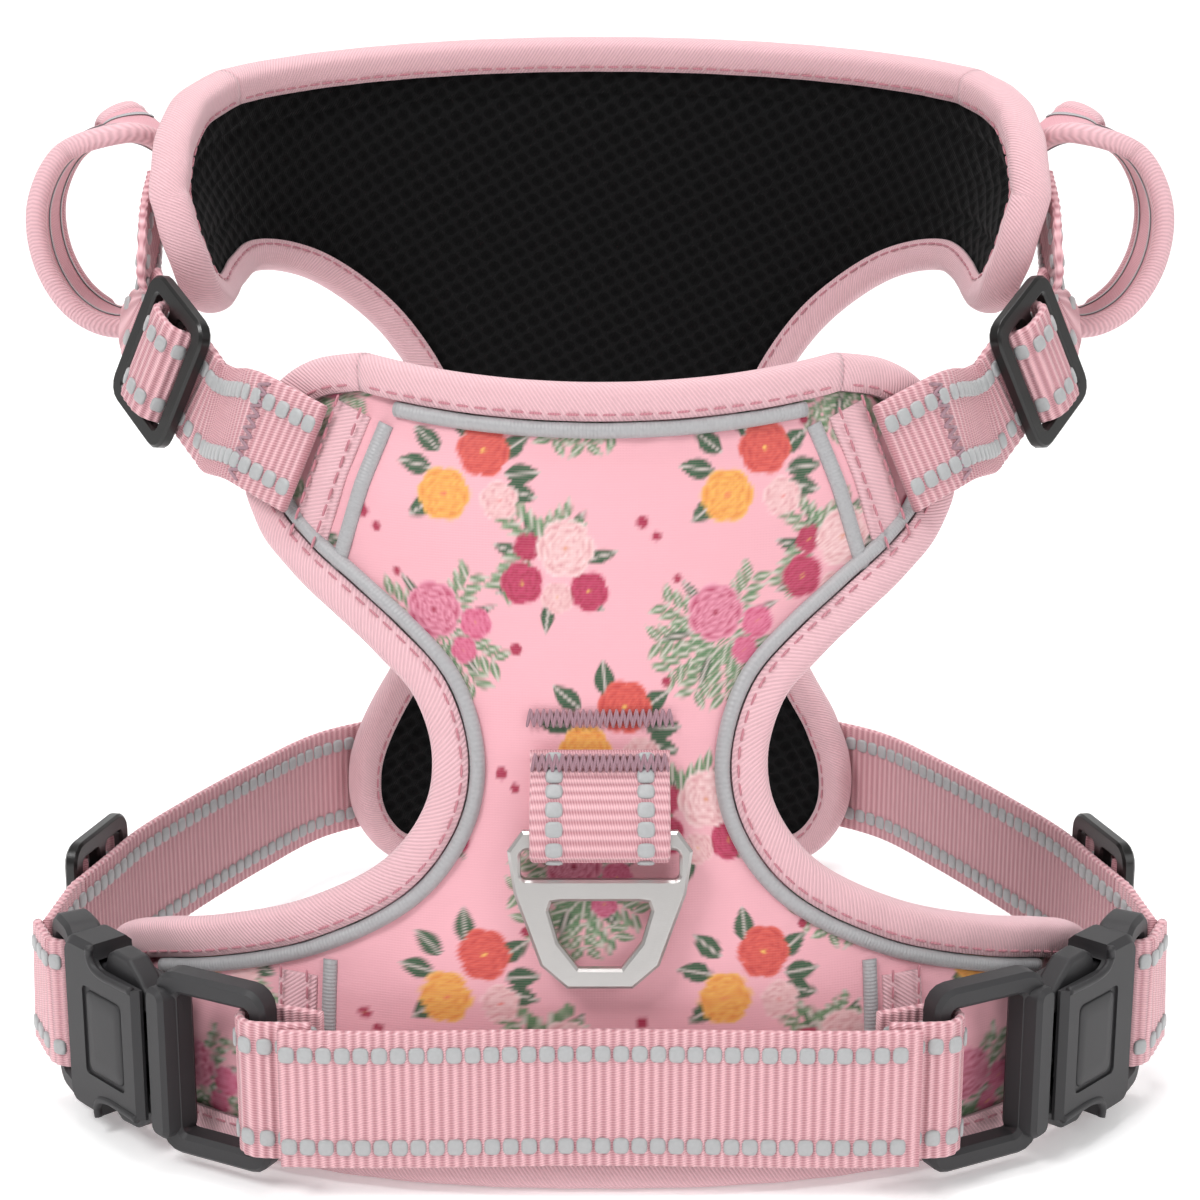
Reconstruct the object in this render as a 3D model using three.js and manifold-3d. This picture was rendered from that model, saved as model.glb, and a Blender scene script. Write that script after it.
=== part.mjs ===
// No pull dog harness with a padded chest plate, a padded back plate and webbing between them.
// Millimetres. +X is the viewer's right, +Y runs from the chest to the back, +Z is up.
// The origin is on the ground under the middle of the harness.

import * as THREE from 'three';
import { mergeVertices } from 'three/addons/utils/BufferGeometryUtils.js';
import Module from 'manifold-3d';

const wasm = await Module();
wasm.setup();

// ---------------------------------------------------------------- driving dimensions

const FRONT_Y = -78.1; // the chest plate's front, from the middle of the harness
const REAR_DEPTH = 158; // from the chest plate's front to the back plate's middle
const FRONT_ARC = { halfWidth: 98, depth: 80, power: 2.4 };
const REAR_ARC = { halfWidth: 83, depth: 60, power: 2.5 };

const WEBBING = 25; // chest, girth and ring tabs
const NECK_WEBBING = 20;
const WEBBING_THICK = 1.6;
const GAP = 0.3; // between pieces that touch

const COVER = [0, 1.4]; // heights of each layer above its panel's surface
const LINING = [-2.4, -GAP];
const BINDING_TOP = 3.1;
const BINDING_BOTTOM = -4.6;
const BINDING_WIDTH = 7;
const TAPE_THICK = 1.1;
const PANEL_INSET = 2.3; // from the binding's outer edge to the panel's edge
const PIPING_WIDTH = 2.4;
const TRIM_BASE = COVER[1] + GAP; // trim lies on the cover at this height

const BUCKLE_Z = 20;
const BUCKLE_HEIGHT = 34;
const BUCKLE_THICK = 9;
const BUCKLE_ANGLE = 47; // degrees from +X to the buckle's axis, on the right side
const FRAME_ANGLE = -19; // the male frame's and the far loop's bend from that axis
const LOOP_ANGLE = 14;

const GIRTH_Z = 22;
const BAND_Z = 19.5;

// ---------------------------------------------------------------- mesh helpers

/** A closed geometry from points and triangles, turned so that its faces point out. */
function closedGeometry(points, triangles) {
  let volume = 0;
  const cross = new THREE.Vector3();
  for (const [a, b, c] of triangles) {
    volume += points[a].dot(cross.crossVectors(points[b], points[c]));
  }
  const index = triangles.flatMap(([a, b, c]) => (volume < 0 ? [a, c, b] : [a, b, c]));
  const geometry = new THREE.BufferGeometry();
  const positions = points.flatMap((p) => p.toArray());
  geometry.setAttribute('position', new THREE.Float32BufferAttribute(positions, 3));
  geometry.setIndex(index);
  geometry.computeVertexNormals();
  return geometry;
}

/** A solid through rings of points that all repeat one section; ends are closed unless it is a loop. */
function loft(rings, section, isLoop = false) {
  const count = section.length;
  const points = rings.flat();
  const triangles = [];
  const spans = isLoop ? rings.length : rings.length - 1;
  for (let i = 0; i < spans; i++) {
    const here = i * count;
    const next = ((i + 1) % rings.length) * count;
    for (let j = 0; j < count; j++) {
      const k = (j + 1) % count;
      triangles.push([here + j, here + k, next + k], [here + j, next + k, next + j]);
    }
  }
  if (!isLoop) {
    const last = (rings.length - 1) * count;
    const isClockwise = THREE.ShapeUtils.isClockWise(section);
    for (const [a, b, c] of THREE.ShapeUtils.triangulateShape(section, [])) {
      triangles.push(isClockwise ? [a, b, c] : [a, c, b]);
      triangles.push(isClockwise ? [last + a, last + c, last + b] : [last + a, last + b, last + c]);
    }
  }
  return closedGeometry(points, triangles);
}

/** A slab between two grids of points, top[i][j] and bottom[i][j]. */
function slab(top, bottom) {
  const rows = top.length;
  const columns = top[0].length;
  const points = [...top.flat(), ...bottom.flat()];
  const under = rows * columns;
  const at = (i, j) => i * columns + j;
  const triangles = [];
  for (let i = 0; i < rows - 1; i++) {
    for (let j = 0; j < columns - 1; j++) {
      const [a, b, c, d] = [at(i, j), at(i, j + 1), at(i + 1, j + 1), at(i + 1, j)];
      triangles.push([a, b, c], [a, c, d]);
      triangles.push([under + a, under + c, under + b], [under + a, under + d, under + c]);
    }
  }
  const rim = [];
  for (let j = 0; j < columns - 1; j++) rim.push(at(0, j));
  for (let i = 0; i < rows - 1; i++) rim.push(at(i, columns - 1));
  for (let j = columns - 1; j > 0; j--) rim.push(at(rows - 1, j));
  for (let i = rows - 1; i > 0; i--) rim.push(at(i, 0));
  rim.forEach((a, i) => {
    const b = rim[(i + 1) % rim.length];
    triangles.push([a, under + a, under + b], [a, under + b, b]);
  });
  return closedGeometry(points, triangles);
}

/** The geometry reflected to the harness's left side, or as it is for its right side. */
function onSide(geometry, side) {
  if (side > 0) return geometry;
  const copy = mergeVertices(positionsOnly(geometry));
  copy.scale(-1, 1, 1);
  const index = copy.getIndex().array;
  for (let i = 0; i < index.length; i += 3) [index[i + 1], index[i + 2]] = [index[i + 2], index[i + 1]];
  copy.computeVertexNormals();
  return copy;
}

function positionsOnly(geometry) {
  const copy = geometry.clone();
  copy.deleteAttribute('normal');
  copy.deleteAttribute('uv');
  return copy;
}

function toManifold(geometry) {
  const merged = mergeVertices(positionsOnly(geometry), 1e-4);
  return new wasm.Manifold(
    new wasm.Mesh({
      numProp: 3,
      vertProperties: new Float32Array(merged.getAttribute('position').array),
      triVerts: new Uint32Array(merged.getIndex().array),
    }),
  );
}

function fromManifold(solid) {
  const { vertProperties, triVerts } = solid.getMesh();
  const geometry = new THREE.BufferGeometry();
  geometry.setAttribute('position', new THREE.BufferAttribute(vertProperties, 3));
  geometry.setIndex(new THREE.BufferAttribute(triVerts, 1));
  geometry.computeVertexNormals();
  return geometry;
}

/** The first geometry joined with those in added, less those in cut. */
function combine(base, added, cut = []) {
  let solid = toManifold(base);
  for (const geometry of added) solid = solid.add(toManifold(geometry));
  for (const geometry of cut) solid = solid.subtract(toManifold(geometry));
  return fromManifold(solid);
}

// ---------------------------------------------------------------- outlines

/** A rounded rectangle about the origin, or a hole of that shape. */
function roundedRectangle(width, height, radius, Kind = THREE.Shape) {
  const [x, y] = [width / 2, height / 2];
  const path = new Kind();
  path.moveTo(x, -y + radius);
  path.absarc(x - radius, y - radius, radius, 0, Math.PI / 2);
  path.absarc(-x + radius, y - radius, radius, Math.PI / 2, Math.PI);
  path.absarc(-x + radius, -y + radius, radius, Math.PI, 1.5 * Math.PI);
  path.absarc(x - radius, -y + radius, radius, 1.5 * Math.PI, 2 * Math.PI);
  return path;
}

/** An extrusion centred on its own plane, with a small bevel. */
function plate(shape, thickness, bevel = 0, curveSegments = 2) {
  const geometry = new THREE.ExtrudeGeometry(shape, {
    depth: thickness - 2 * bevel,
    bevelEnabled: bevel > 0,
    bevelThickness: bevel,
    bevelSize: bevel,
    bevelOffset: -bevel,
    bevelSegments: 1,
    curveSegments,
  });
  geometry.translate(0, 0, -thickness / 2 + bevel);
  return geometry;
}

// ---------------------------------------------------------------- curved panels

/** Along a superellipse by arc length: gives x and how far back the curve has come at u. */
function arcByLength({ halfWidth, depth, power }) {
  const steps = 400;
  const samples = [{ u: 0, x: 0, back: 0 }];
  for (let i = 1; i <= steps; i++) {
    const angle = (i / steps) * (Math.PI / 2);
    const x = halfWidth * Math.sin(angle) ** (2 / power);
    const back = depth * (1 - Math.cos(angle) ** (2 / power));
    const last = samples.at(-1);
    samples.push({ u: last.u + Math.hypot(x - last.x, back - last.back), x, back });
  }
  return (u) => {
    const length = Math.abs(u);
    const found = samples.findIndex((s) => s.u >= length);
    const i = found < 0 ? steps : Math.max(1, found);
    const [a, b] = [samples[i - 1], samples[i]];
    const t = (length - a.u) / (b.u - a.u);
    return [Math.sign(u) * THREE.MathUtils.lerp(a.x, b.x, t), THREE.MathUtils.lerp(a.back, b.back, t)];
  };
}

const frontArc = arcByLength(FRONT_ARC);
const rearArc = arcByLength(REAR_ARC);

/** The chest plate's middle surface: it leans back, and its top corners are drawn back further. */
function chestPoint(u, v) {
  const [x, back] = frontArc(u);
  const rise = Math.max(v, 0) / 138;
  const lean = 27 * rise ** 1.3;
  const drawn = 13 * rise ** 2 * (x / 55) ** 2;
  return new THREE.Vector3(x, FRONT_Y + back + lean + drawn, v);
}

/** The back plate's middle surface: its yoke wraps forward and its upper edge leans in. */
function backPoint(u, v) {
  const [x, forward] = rearArc(u);
  const rise = Math.max(v, 0) / 187;
  const flank = THREE.MathUtils.smoothstep(Math.abs(u), 50, 110);
  const narrowing = 1 - 0.0035 * flank * THREE.MathUtils.clamp(160 - v, 0, 30);
  return new THREE.Vector3(x * narrowing, FRONT_Y + REAR_DEPTH - forward - 11 * rise ** 2, v);
}

/** Raises a surface's point by h along its outward normal. */
function raised(surface, outward) {
  const step = 0.5;
  return (u, v, h = 0) => {
    const along = surface(u + step, v).sub(surface(u - step, v));
    const up = surface(u, v + step).sub(surface(u, v - step));
    const normal = along.cross(up).normalize().multiplyScalar(outward * h);
    return surface(u, v).add(normal);
  };
}

const chestSurface = raised(chestPoint, 1);
const backSurface = raised(backPoint, -1);

/** Shares of the half width from one edge to the other, closer together near the edges. */
function acrossPanel(columns) {
  return Array.from({ length: columns + 1 }, (_, j) => {
    const even = (2 * j) / columns - 1;
    return 0.45 * even + 0.55 * Math.sin((Math.PI / 2) * even);
  });
}

/**
 * Lays out a panel that is symmetric about u = 0. side holds [u, v, spine] points from the lower
 * corner to the upper one, where spine is the height at which that row crosses the middle.
 */
function layOutPanel(surface, side, rows, columns) {
  const curve = new THREE.CatmullRomCurve3(side.map((p) => new THREE.Vector3(...p)), false, 'centripetal');
  const edge = curve.getSpacedPoints(rows);
  const rowAt = ({ x: u, y: v, z: spine }, s) => new THREE.Vector2(s * u, spine + (v - spine) * s * s);
  const across = acrossPanel(columns);
  const grid = edge.map((point) => across.map((s) => rowAt(point, s)));
  const outline = [
    ...grid[0].slice(0, -1),
    ...grid.slice(0, -1).map((row) => row.at(-1)),
    ...grid[rows].slice(1).reverse(),
    ...grid.slice(1).map((row) => row[0]).reverse(),
  ];
  const inward = outline.map((_, i) => {
    const before = outline.at(i - 1);
    const after = outline[(i + 1) % outline.length];
    return new THREE.Vector2(before.y - after.y, after.x - before.x).normalize();
  });
  const inset = (i, d) => outline[i].clone().addScaledVector(inward[i], d);
  return { surface, grid, outline, inset, rows, columns };
}

/** One layer of a panel, between two heights, inside the binding's fold. */
function panelLayer({ surface, grid, outline, inset, rows, columns }, [low, high]) {
  const right = (i) => inset(columns + i, PANEL_INSET);
  const bottom = inset(columns / 2, PANEL_INSET).y - outline[columns / 2].y;
  const top = inset(columns + rows + columns / 2, PANEL_INSET).y - outline[columns + rows + columns / 2].y;
  const flat = grid.map((row, i) => {
    const corner = right(i);
    const share = i / rows;
    const spine = row[columns / 2].y + bottom * (1 - share) ** 8 + top * share ** 8;
    const place = (s) => new THREE.Vector2(s * corner.x, spine + (corner.y - spine) * s * s);
    return acrossPanel(columns).map(place);
  });
  const lifted = (h) => flat.map((row) => row.map((p) => surface(p.x, p.y, h)));
  return slab(lifted(high), lifted(low));
}

const BINDING_SECTION = [
  [BINDING_WIDTH, BINDING_TOP],
  [1.4, BINDING_TOP],
  [0, BINDING_TOP - 1.8],
  [0, BINDING_BOTTOM + 1.8],
  [1.4, BINDING_BOTTOM],
  [BINDING_WIDTH, BINDING_BOTTOM],
  [BINDING_WIDTH, BINDING_BOTTOM + TAPE_THICK],
  [TAPE_THICK + 0.2, BINDING_BOTTOM + TAPE_THICK],
  [TAPE_THICK + 0.2, BINDING_TOP - TAPE_THICK],
  [BINDING_WIDTH, BINDING_TOP - TAPE_THICK],
].map((p) => new THREE.Vector2(...p));

const PIPING_SECTION = [
  [0, 0],
  [PIPING_WIDTH, 0],
  [PIPING_WIDTH, 0.7],
  [PIPING_WIDTH / 2, 1.2],
  [0, 0.7],
].map((p) => new THREE.Vector2(BINDING_WIDTH + GAP + p[0], TRIM_BASE + p[1]));

/** Trim that follows a panel's edge over the outline's points from first to last. */
function edgeTrim(panel, section, first, last) {
  const count = panel.outline.length;
  const rings = [];
  for (let i = first; i <= last; i++) {
    const station = ((i % count) + count) % count;
    rings.push(section.map((p) => {
      const flat = panel.inset(station, p.x);
      return panel.surface(flat.x, flat.y, p.y);
    }));
  }
  return loft(trimEnds(rings, 1.5 * GAP), section);
}

/** Shortens a run of rings a little at both ends. */
function trimEnds(rings, distance) {
  const shorten = (end, next) => end.map((p, i) => {
    const step = next[i].clone().sub(p);
    return p.clone().addScaledVector(step, distance / step.length());
  });
  return [shorten(rings[0], rings[1]), ...rings.slice(1, -1), shorten(rings.at(-1), rings.at(-2))];
}

/** A flat strip on a panel's surface from one point of it to another. */
function stripOnPanel(surface, from, to, width, low, high, steps = 5) {
  const start = new THREE.Vector2(...from);
  const run = new THREE.Vector2(...to).sub(start);
  const half = new THREE.Vector2(-run.y, run.x).setLength(width / 2);
  const across = [-1, 0, 1];
  const grid = (h) => Array.from({ length: steps + 1 }, (_, i) => across.map((s) => {
    const flat = start.clone().addScaledVector(run, i / steps).addScaledVector(half, s);
    return surface(flat.x, flat.y, h);
  }));
  return slab(grid(high), grid(low));
}

// ---------------------------------------------------------------- webbing

/** Webbing of even thickness through frames, each a centre point and a direction across its width. */
function ribbon(frames, width, thickness = WEBBING_THICK) {
  const section = [[-1, -1], [1, -1], [1, 1], [-1, 1]].map((p) => new THREE.Vector2(...p));
  const rings = frames.map(({ point, across }, i) => {
    const before = frames[Math.max(i - 1, 0)].point;
    const after = frames[Math.min(i + 1, frames.length - 1)].point;
    const along = after.clone().sub(before).normalize();
    const side = across.clone().addScaledVector(along, -across.dot(along)).normalize();
    const normal = along.clone().cross(side);
    return section.map((p) => point.clone()
      .addScaledVector(side, (p.x * width) / 2)
      .addScaledVector(normal, (p.y * thickness) / 2));
  });
  return loft(rings, section);
}

/** Frames along a smooth curve through stations that each hold a point and a direction across. */
function framesThrough(stations, steps) {
  const places = new THREE.CatmullRomCurve3(stations.map((s) => s.point), false, 'centripetal');
  const last = stations.length - 1;
  return Array.from({ length: steps + 1 }, (_, i) => {
    const t = i / steps;
    const k = Math.min(Math.floor(t * last), last - 1);
    const across = stations[k].across.clone().lerp(stations[k + 1].across, t * last - k).normalize();
    return { point: places.getPoint(t), across };
  });
}

/** Frames that keep one direction across, such as webbing that stands upright. */
function uprightFrames(points, across = new THREE.Vector3(0, 0, 1)) {
  return points.map((point) => ({ point, across }));
}

/** Points of a U turn of webbing in plan, from start, round a bar at centre, to end. */
function turnRound(centre, radius, fromAngle, toAngle, z, steps = 8) {
  return Array.from({ length: steps + 1 }, (_, i) => {
    const angle = THREE.MathUtils.degToRad(THREE.MathUtils.lerp(fromAngle, toAngle, i / steps));
    return new THREE.Vector3(centre.x + radius * Math.cos(angle), centre.y + radius * Math.sin(angle), z);
  });
}

// ---------------------------------------------------------------- the model

const harness = new THREE.Group();

function finish(color, roughness, metalness = 0) {
  return () => new THREE.MeshStandardMaterial({ color, roughness, metalness });
}

const printedFabric = finish(0xe9a7b3, 0.75);
const meshFabric = finish(0x16161a, 0.9);
const twillTape = finish(0xe8aab2, 0.8);
const reflectiveTape = finish(0xb9bcbc, 0.45);
const webbing = finish(0xd98c97, 0.7);
const thread = finish(0xa3929a, 0.6);
const plastic = finish(0x38393b, 0.5);
const glossyPlastic = finish(0x2a2625, 0.3);
const satinMetal = finish(0xb9babc, 0.4, 0.9);

function add(name, geometry, material, parent = harness) {
  const mesh = new THREE.Mesh(geometry, material());
  mesh.name = name;
  parent.add(mesh);
  return mesh;
}

const SIDES = [['left', -1], ['right', 1]];

// ---------------------------------------------------------------- chest plate

const CHEST_ROWS = 22;
const CHEST_COLUMNS = 12;
const chest = layOutPanel(chestSurface, [
  [93, 0.65, 0.05], [101.5, 4, 6], [106, 14, 16], [105, 24.5, 26], [98, 32, 33], [86, 36.6, 39],
  [70, 41, 45],
  [52, 47, 51], [37, 55.5, 58], [30.2, 64.5, 66], [28.6, 73, 74], [31.5, 82.5, 83], [38, 89, 90],
  [46, 95, 97],
  [54, 100.5, 104], [61, 107, 112], [64.3, 115, 119], [63, 124, 125], [57.5, 131.5, 130], [50, 136.5, 133],
  [41, 138.6, 135.5],
], CHEST_ROWS, CHEST_COLUMNS);

const chestCorner = {
  lowerRight: CHEST_COLUMNS,
  upperRight: CHEST_COLUMNS + CHEST_ROWS,
  upperLeft: 2 * CHEST_COLUMNS + CHEST_ROWS,
  lowerLeft: 2 * (CHEST_COLUMNS + CHEST_ROWS),
};

function buildChestPlate() {
  const { lowerRight, upperRight, upperLeft, lowerLeft } = chestCorner;
  add('chest_cover', panelLayer(chest, COVER), printedFabric);
  add('chest_lining', panelLayer(chest, LINING), meshFabric);
  add('chest_binding_lower', edgeTrim(chest, BINDING_SECTION, 0, lowerRight), twillTape);
  add('chest_binding_right', edgeTrim(chest, BINDING_SECTION, lowerRight, upperRight), twillTape);
  add('chest_binding_neck', edgeTrim(chest, BINDING_SECTION, upperRight, upperLeft), twillTape);
  add('chest_binding_left', edgeTrim(chest, BINDING_SECTION, upperLeft, lowerLeft), twillTape);
  const wingTip = 5; // outline stations between a lower corner and the armhole piping
  const piping = (start, end) => edgeTrim(chest, PIPING_SECTION, start, end);
  add('chest_piping_right', piping(lowerRight + wingTip, upperRight - 3), reflectiveTape);
  add('chest_piping_left', piping(upperLeft + 3, lowerLeft - wingTip), reflectiveTape);
  add('chest_piping_neck', edgeTrim(chest, PIPING_SECTION, upperRight + 2, upperLeft - 2), reflectiveTape);
}

/** The lobe's tape and piping, and the wing's, mirrored from the right side. */
function buildChestTapes() {
  const upper = { from: [42.5, 128], to: [48.3, 113] };
  const upperPiping = { from: [36.6, 125.5], to: [43, 108.5] };
  const lower = { from: [52.5, 34.6], to: [52.5, 9] };
  const lowerPiping = { from: [46.5, 37.6], to: [46.5, 9] };
  for (const [name, side] of SIDES) {
    const strip = ({ from, to }, width, high) =>
      onSide(stripOnPanel(chestSurface, from, to, width, TRIM_BASE, high), side);
    add(`corner_tape_upper_${name}`, strip(upper, 7, TRIM_BASE + TAPE_THICK), twillTape);
    add(`corner_tape_lower_${name}`, strip(lower, 7.5, TRIM_BASE + TAPE_THICK), twillTape);
    add(`cross_piping_upper_${name}`, strip(upperPiping, PIPING_WIDTH, TRIM_BASE + 1), reflectiveTape);
    add(`cross_piping_lower_${name}`, strip(lowerPiping, PIPING_WIDTH, TRIM_BASE + 1), reflectiveTape);
  }
}

// ---------------------------------------------------------------- chest band and buckle loops

/** A point beside the chest plate's lower edge, off it by h. */
function besideChest(u, z, h) {
  const point = chestSurface(u, 0, h);
  return point.setZ(z);
}

function buildChestBand() {
  const end = 50;
  const steps = 24;
  const upright = new THREE.Vector3(0, 0, 1);
  const frames = Array.from({ length: steps + 1 }, (_, i) => {
    const u = THREE.MathUtils.lerp(-end, end, i / steps);
    return { point: besideChest(u, BAND_Z, 5.4 + 8 * (u / end) ** 2), across: upright };
  });
  add('chest_band', ribbon(frames, WEBBING), webbing);
}

// ---------------------------------------------------------------- ring tabs and leash rings

const RING_THICK = 3;
const RING_WINDOW = WEBBING + 1.6;
const RING_BAR = 1.6; // half the height of the bar that the webbing turns round
const FRONT_PIVOT = { z: 61, h: 5.8 }; // the bar's place, off the chest plate
const REAR_PIVOT = { z: 113, h: 5.8 };

/** A leash ring in its own plane: its bar, which is the swing axis, is at the origin. */
function leashRing() {
  const [shoulder, foot, bottom] = [15.6, 5.5, -25];
  const outline = new THREE.Shape();
  outline.moveTo(-foot, bottom);
  outline.lineTo(foot, bottom);
  outline.bezierCurveTo(foot + 4, bottom, foot + 5, bottom + 5, shoulder - 1.2, -9);
  outline.bezierCurveTo(shoulder + 0.6, -4, shoulder + 0.4, RING_BAR, shoulder - 2.6, RING_BAR);
  outline.lineTo(-shoulder + 2.6, RING_BAR);
  outline.bezierCurveTo(-shoulder - 0.4, RING_BAR, -shoulder - 0.6, -4, -shoulder + 1.2, -9);
  outline.bezierCurveTo(-foot - 5, bottom + 5, -foot - 4, bottom, -foot, bottom);
  const slotHeight = 5;
  const slot = new THREE.Path();
  const corners = roundedRectangle(RING_WINDOW, slotHeight, 1, THREE.Path).getPoints(2);
  slot.setFromPoints(corners.map((p) => p.add(new THREE.Vector2(0, -RING_BAR - slotHeight / 2))));
  const opening = new THREE.Path();
  const [top, low] = [-10.2, bottom + 3.4];
  opening.moveTo(-3.6, low);
  opening.bezierCurveTo(-6, low, -8.6, top - 3, -8.6, top - 1.6);
  opening.bezierCurveTo(-8.6, top, -8, top, -6.6, top);
  opening.lineTo(6.6, top);
  opening.bezierCurveTo(8, top, 8.6, top, 8.6, top - 1.6);
  opening.bezierCurveTo(8.6, top - 3, 6, low, 3.6, low);
  outline.holes.push(slot, opening);
  return plate(outline, RING_THICK, 0.5);
}

/** Webbing sewn on a panel that comes down in front of a ring's bar, round it and up behind. */
function ringTab(surface, pivot, topZ) {
  const across = new THREE.Vector3(1, 0, 0);
  const radius = RING_BAR + GAP + 0.2 + WEBBING_THICK / 2;
  const reach = RING_THICK / 2 + 0.8 + WEBBING_THICK / 2;
  const places = [[topZ, 4.4], [topZ - 4, 4.5], [pivot.z + 5, pivot.h + 2.2], [pivot.z, pivot.h + reach]];
  for (const degrees of [30, 60, 90, 120, 150]) {
    const angle = THREE.MathUtils.degToRad(degrees);
    places.push([pivot.z - radius * Math.sin(angle), pivot.h + reach * Math.cos(angle)]);
  }
  places.push([pivot.z, pivot.h - reach], [pivot.z + 4, 2.6], [topZ - 6, 2.5]);
  const points = places.map(([z, h]) => surface(0, z, h));
  return ribbon(uprightFrames(points, across), WEBBING - 1.5);
}

/** The ring's position follows the panel's lean there. */
function placeRing(name, surface, pivot) {
  const geometry = leashRing();
  const below = surface(0, pivot.z - 20, pivot.h);
  const centre = surface(0, pivot.z, pivot.h);
  const tilt = Math.atan2(centre.y - below.y, 20);
  geometry.rotateX(Math.PI / 2 - tilt);
  geometry.translate(centre.x, centre.y, centre.z);
  add(name, geometry, satinMetal);
}

function buildLeashPoints() {
  placeRing('front_ring', chestSurface, FRONT_PIVOT);
  add('front_ring_tab', ringTab(chestSurface, FRONT_PIVOT, 75.5), webbing);
  const upperTack = stripOnPanel(chestSurface, [-12, 80.5], [12, 80.5], 2.6, TRIM_BASE, TRIM_BASE + 0.7);
  add('bar_tack_upper', upperTack, thread);
  add('bar_tack_lower', stripOnPanel(chestSurface, [-11, 73.5], [11, 73.5], 2.6, 5.6, 6.2), thread);
  placeRing('rear_ring', backSurface, REAR_PIVOT);
  add('rear_ring_tab', ringTab(backSurface, REAR_PIVOT, 131), webbing);
  add('rear_bar_tack', stripOnPanel(backSurface, [-11, 129], [11, 129], 2.6, 5.6, 6.2), thread);
}

// ---------------------------------------------------------------- buckles

const SOCKET_LENGTH = 23.5;
const SOCKET_MOUTH = 2.2;
const FRAME_LENGTH = 23;
const FRAME_THICK = 4.8;
const FRAME_END = 0.2; // the frame's inner end, along the buckle's axis
const NEAR_BAR = 3.4; // the bar that the chest loop turns round
const LOOP_RADIUS = 3.9;
const ARM = (BUCKLE_HEIGHT - WEBBING - 1.2) / 2; // beside each webbing window

/** A plate in the buckle's own x-z plane, x along its axis and y through its thickness. */
function buckleSlab(shape, thickness, bevel) {
  return plate(shape, thickness, bevel).rotateX(Math.PI / 2);
}

/** A frame about a window as high as the webbing, with a bar before it and one after it in x. */
function webbingFrame(length, before, after, thickness) {
  const shape = roundedRectangle(length, BUCKLE_HEIGHT, 4);
  const corners = roundedRectangle(length - before - after, BUCKLE_HEIGHT - 2 * ARM, 1.2, THREE.Path);
  const window = new THREE.Path();
  window.setFromPoints(corners.getPoints(2).map((p) => p.add(new THREE.Vector2((before - after) / 2, 0))));
  shape.holes.push(window);
  return buckleSlab(shape, thickness, 0.8);
}

function maleFrame() {
  const frame = webbingFrame(FRAME_LENGTH, NEAR_BAR, 4.4, FRAME_THICK);
  frame.translate(FRAME_END - FRAME_LENGTH / 2, 0, 0);
  frame.rotateZ(THREE.MathUtils.degToRad(FRAME_ANGLE));
  const base = buckleSlab(roundedRectangle(5, BUCKLE_HEIGHT - 6, 2), 7.2, 0.8).translate(-1.9, 0, 0);
  const tongue = buckleSlab(roundedRectangle(19, 5.4, 1.5), 3.6, 0.5).translate(9, 0, 0);
  return combine(frame, [base, tongue]);
}

/** The upper spring prong: an arm from the base that swells out where a finger presses it. */
function prong() {
  const shape = new THREE.Shape();
  shape.moveTo(1.9, 7.4);
  shape.lineTo(19, 8.2);
  shape.quadraticCurveTo(21.4, 9.6, 19.6, 11.6);
  shape.quadraticCurveTo(17.4, 12.8, 15, 12.8);
  shape.quadraticCurveTo(14.8, 15.6, 12, 16.4);
  shape.quadraticCurveTo(6.4, 17.2, 4, 13.6);
  shape.quadraticCurveTo(3, 12, 1.9, 11.6);
  return buckleSlab(shape, 4.4, 0.5);
}

/** The socket's body with its cavity and side notches, and a bent loop for the webbing. */
function socket() {
  const middle = SOCKET_MOUTH + SOCKET_LENGTH / 2;
  const body = buckleSlab(roundedRectangle(SOCKET_LENGTH, BUCKLE_HEIGHT - 1, 3.2), BUCKLE_THICK, 1.2);
  body.translate(middle, 0, 0);
  const loop = webbingFrame(12, 3.4, 3.2, 6.4);
  loop.translate(4.6, 0, 0).rotateZ(THREE.MathUtils.degToRad(LOOP_ANGLE));
  loop.translate(SOCKET_MOUTH + SOCKET_LENGTH - 1.2, 0, 0);
  const cavity = buckleSlab(roundedRectangle(22.5, 27, 1), 5.4).translate(SOCKET_MOUTH + 9.6, 0, 0);
  const notches = [-1, 1].map((up) =>
    buckleSlab(roundedRectangle(18, 12, 2.6), BUCKLE_THICK + 2).translate(7.4, 0, up * 18.2));
  const panel = buckleSlab(roundedRectangle(12.5, 17, 1), 1).translate(middle - 1, -BUCKLE_THICK / 2, 0);
  return combine(body, [loop], [cavity, ...notches, panel]);
}

/** Where each buckle stands: its mouth is beside the chest wing. */
const BUCKLE_PLACE = besideChest(73.5, BUCKLE_Z, 9.2);

function placeBuckle(geometry) {
  return geometry.rotateZ(THREE.MathUtils.degToRad(BUCKLE_ANGLE)).translate(...BUCKLE_PLACE.toArray());
}

function buildBuckles() {
  for (const [name, side] of SIDES) {
    add(`male_frame_${name}`, onSide(placeBuckle(maleFrame()), side), plastic);
    const lower = prong().rotateX(Math.PI);
    add(`prong_upper_${name}`, onSide(placeBuckle(prong()), side), plastic);
    add(`prong_lower_${name}`, onSide(placeBuckle(lower), side), plastic);
    add(`socket_${name}`, onSide(placeBuckle(socket()), side), plastic);
  }
}

/** A point given in the right buckle's own axes, as a place in the harness. */
function atBuckle(along, out, bend = 0) {
  const angle = THREE.MathUtils.degToRad(BUCKLE_ANGLE + bend);
  const direction = new THREE.Vector3(Math.cos(angle), Math.sin(angle), 0);
  const outward = new THREE.Vector3(Math.sin(angle), -Math.cos(angle), 0);
  return BUCKLE_PLACE.clone().addScaledVector(direction, along).addScaledVector(outward, out);
}

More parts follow.
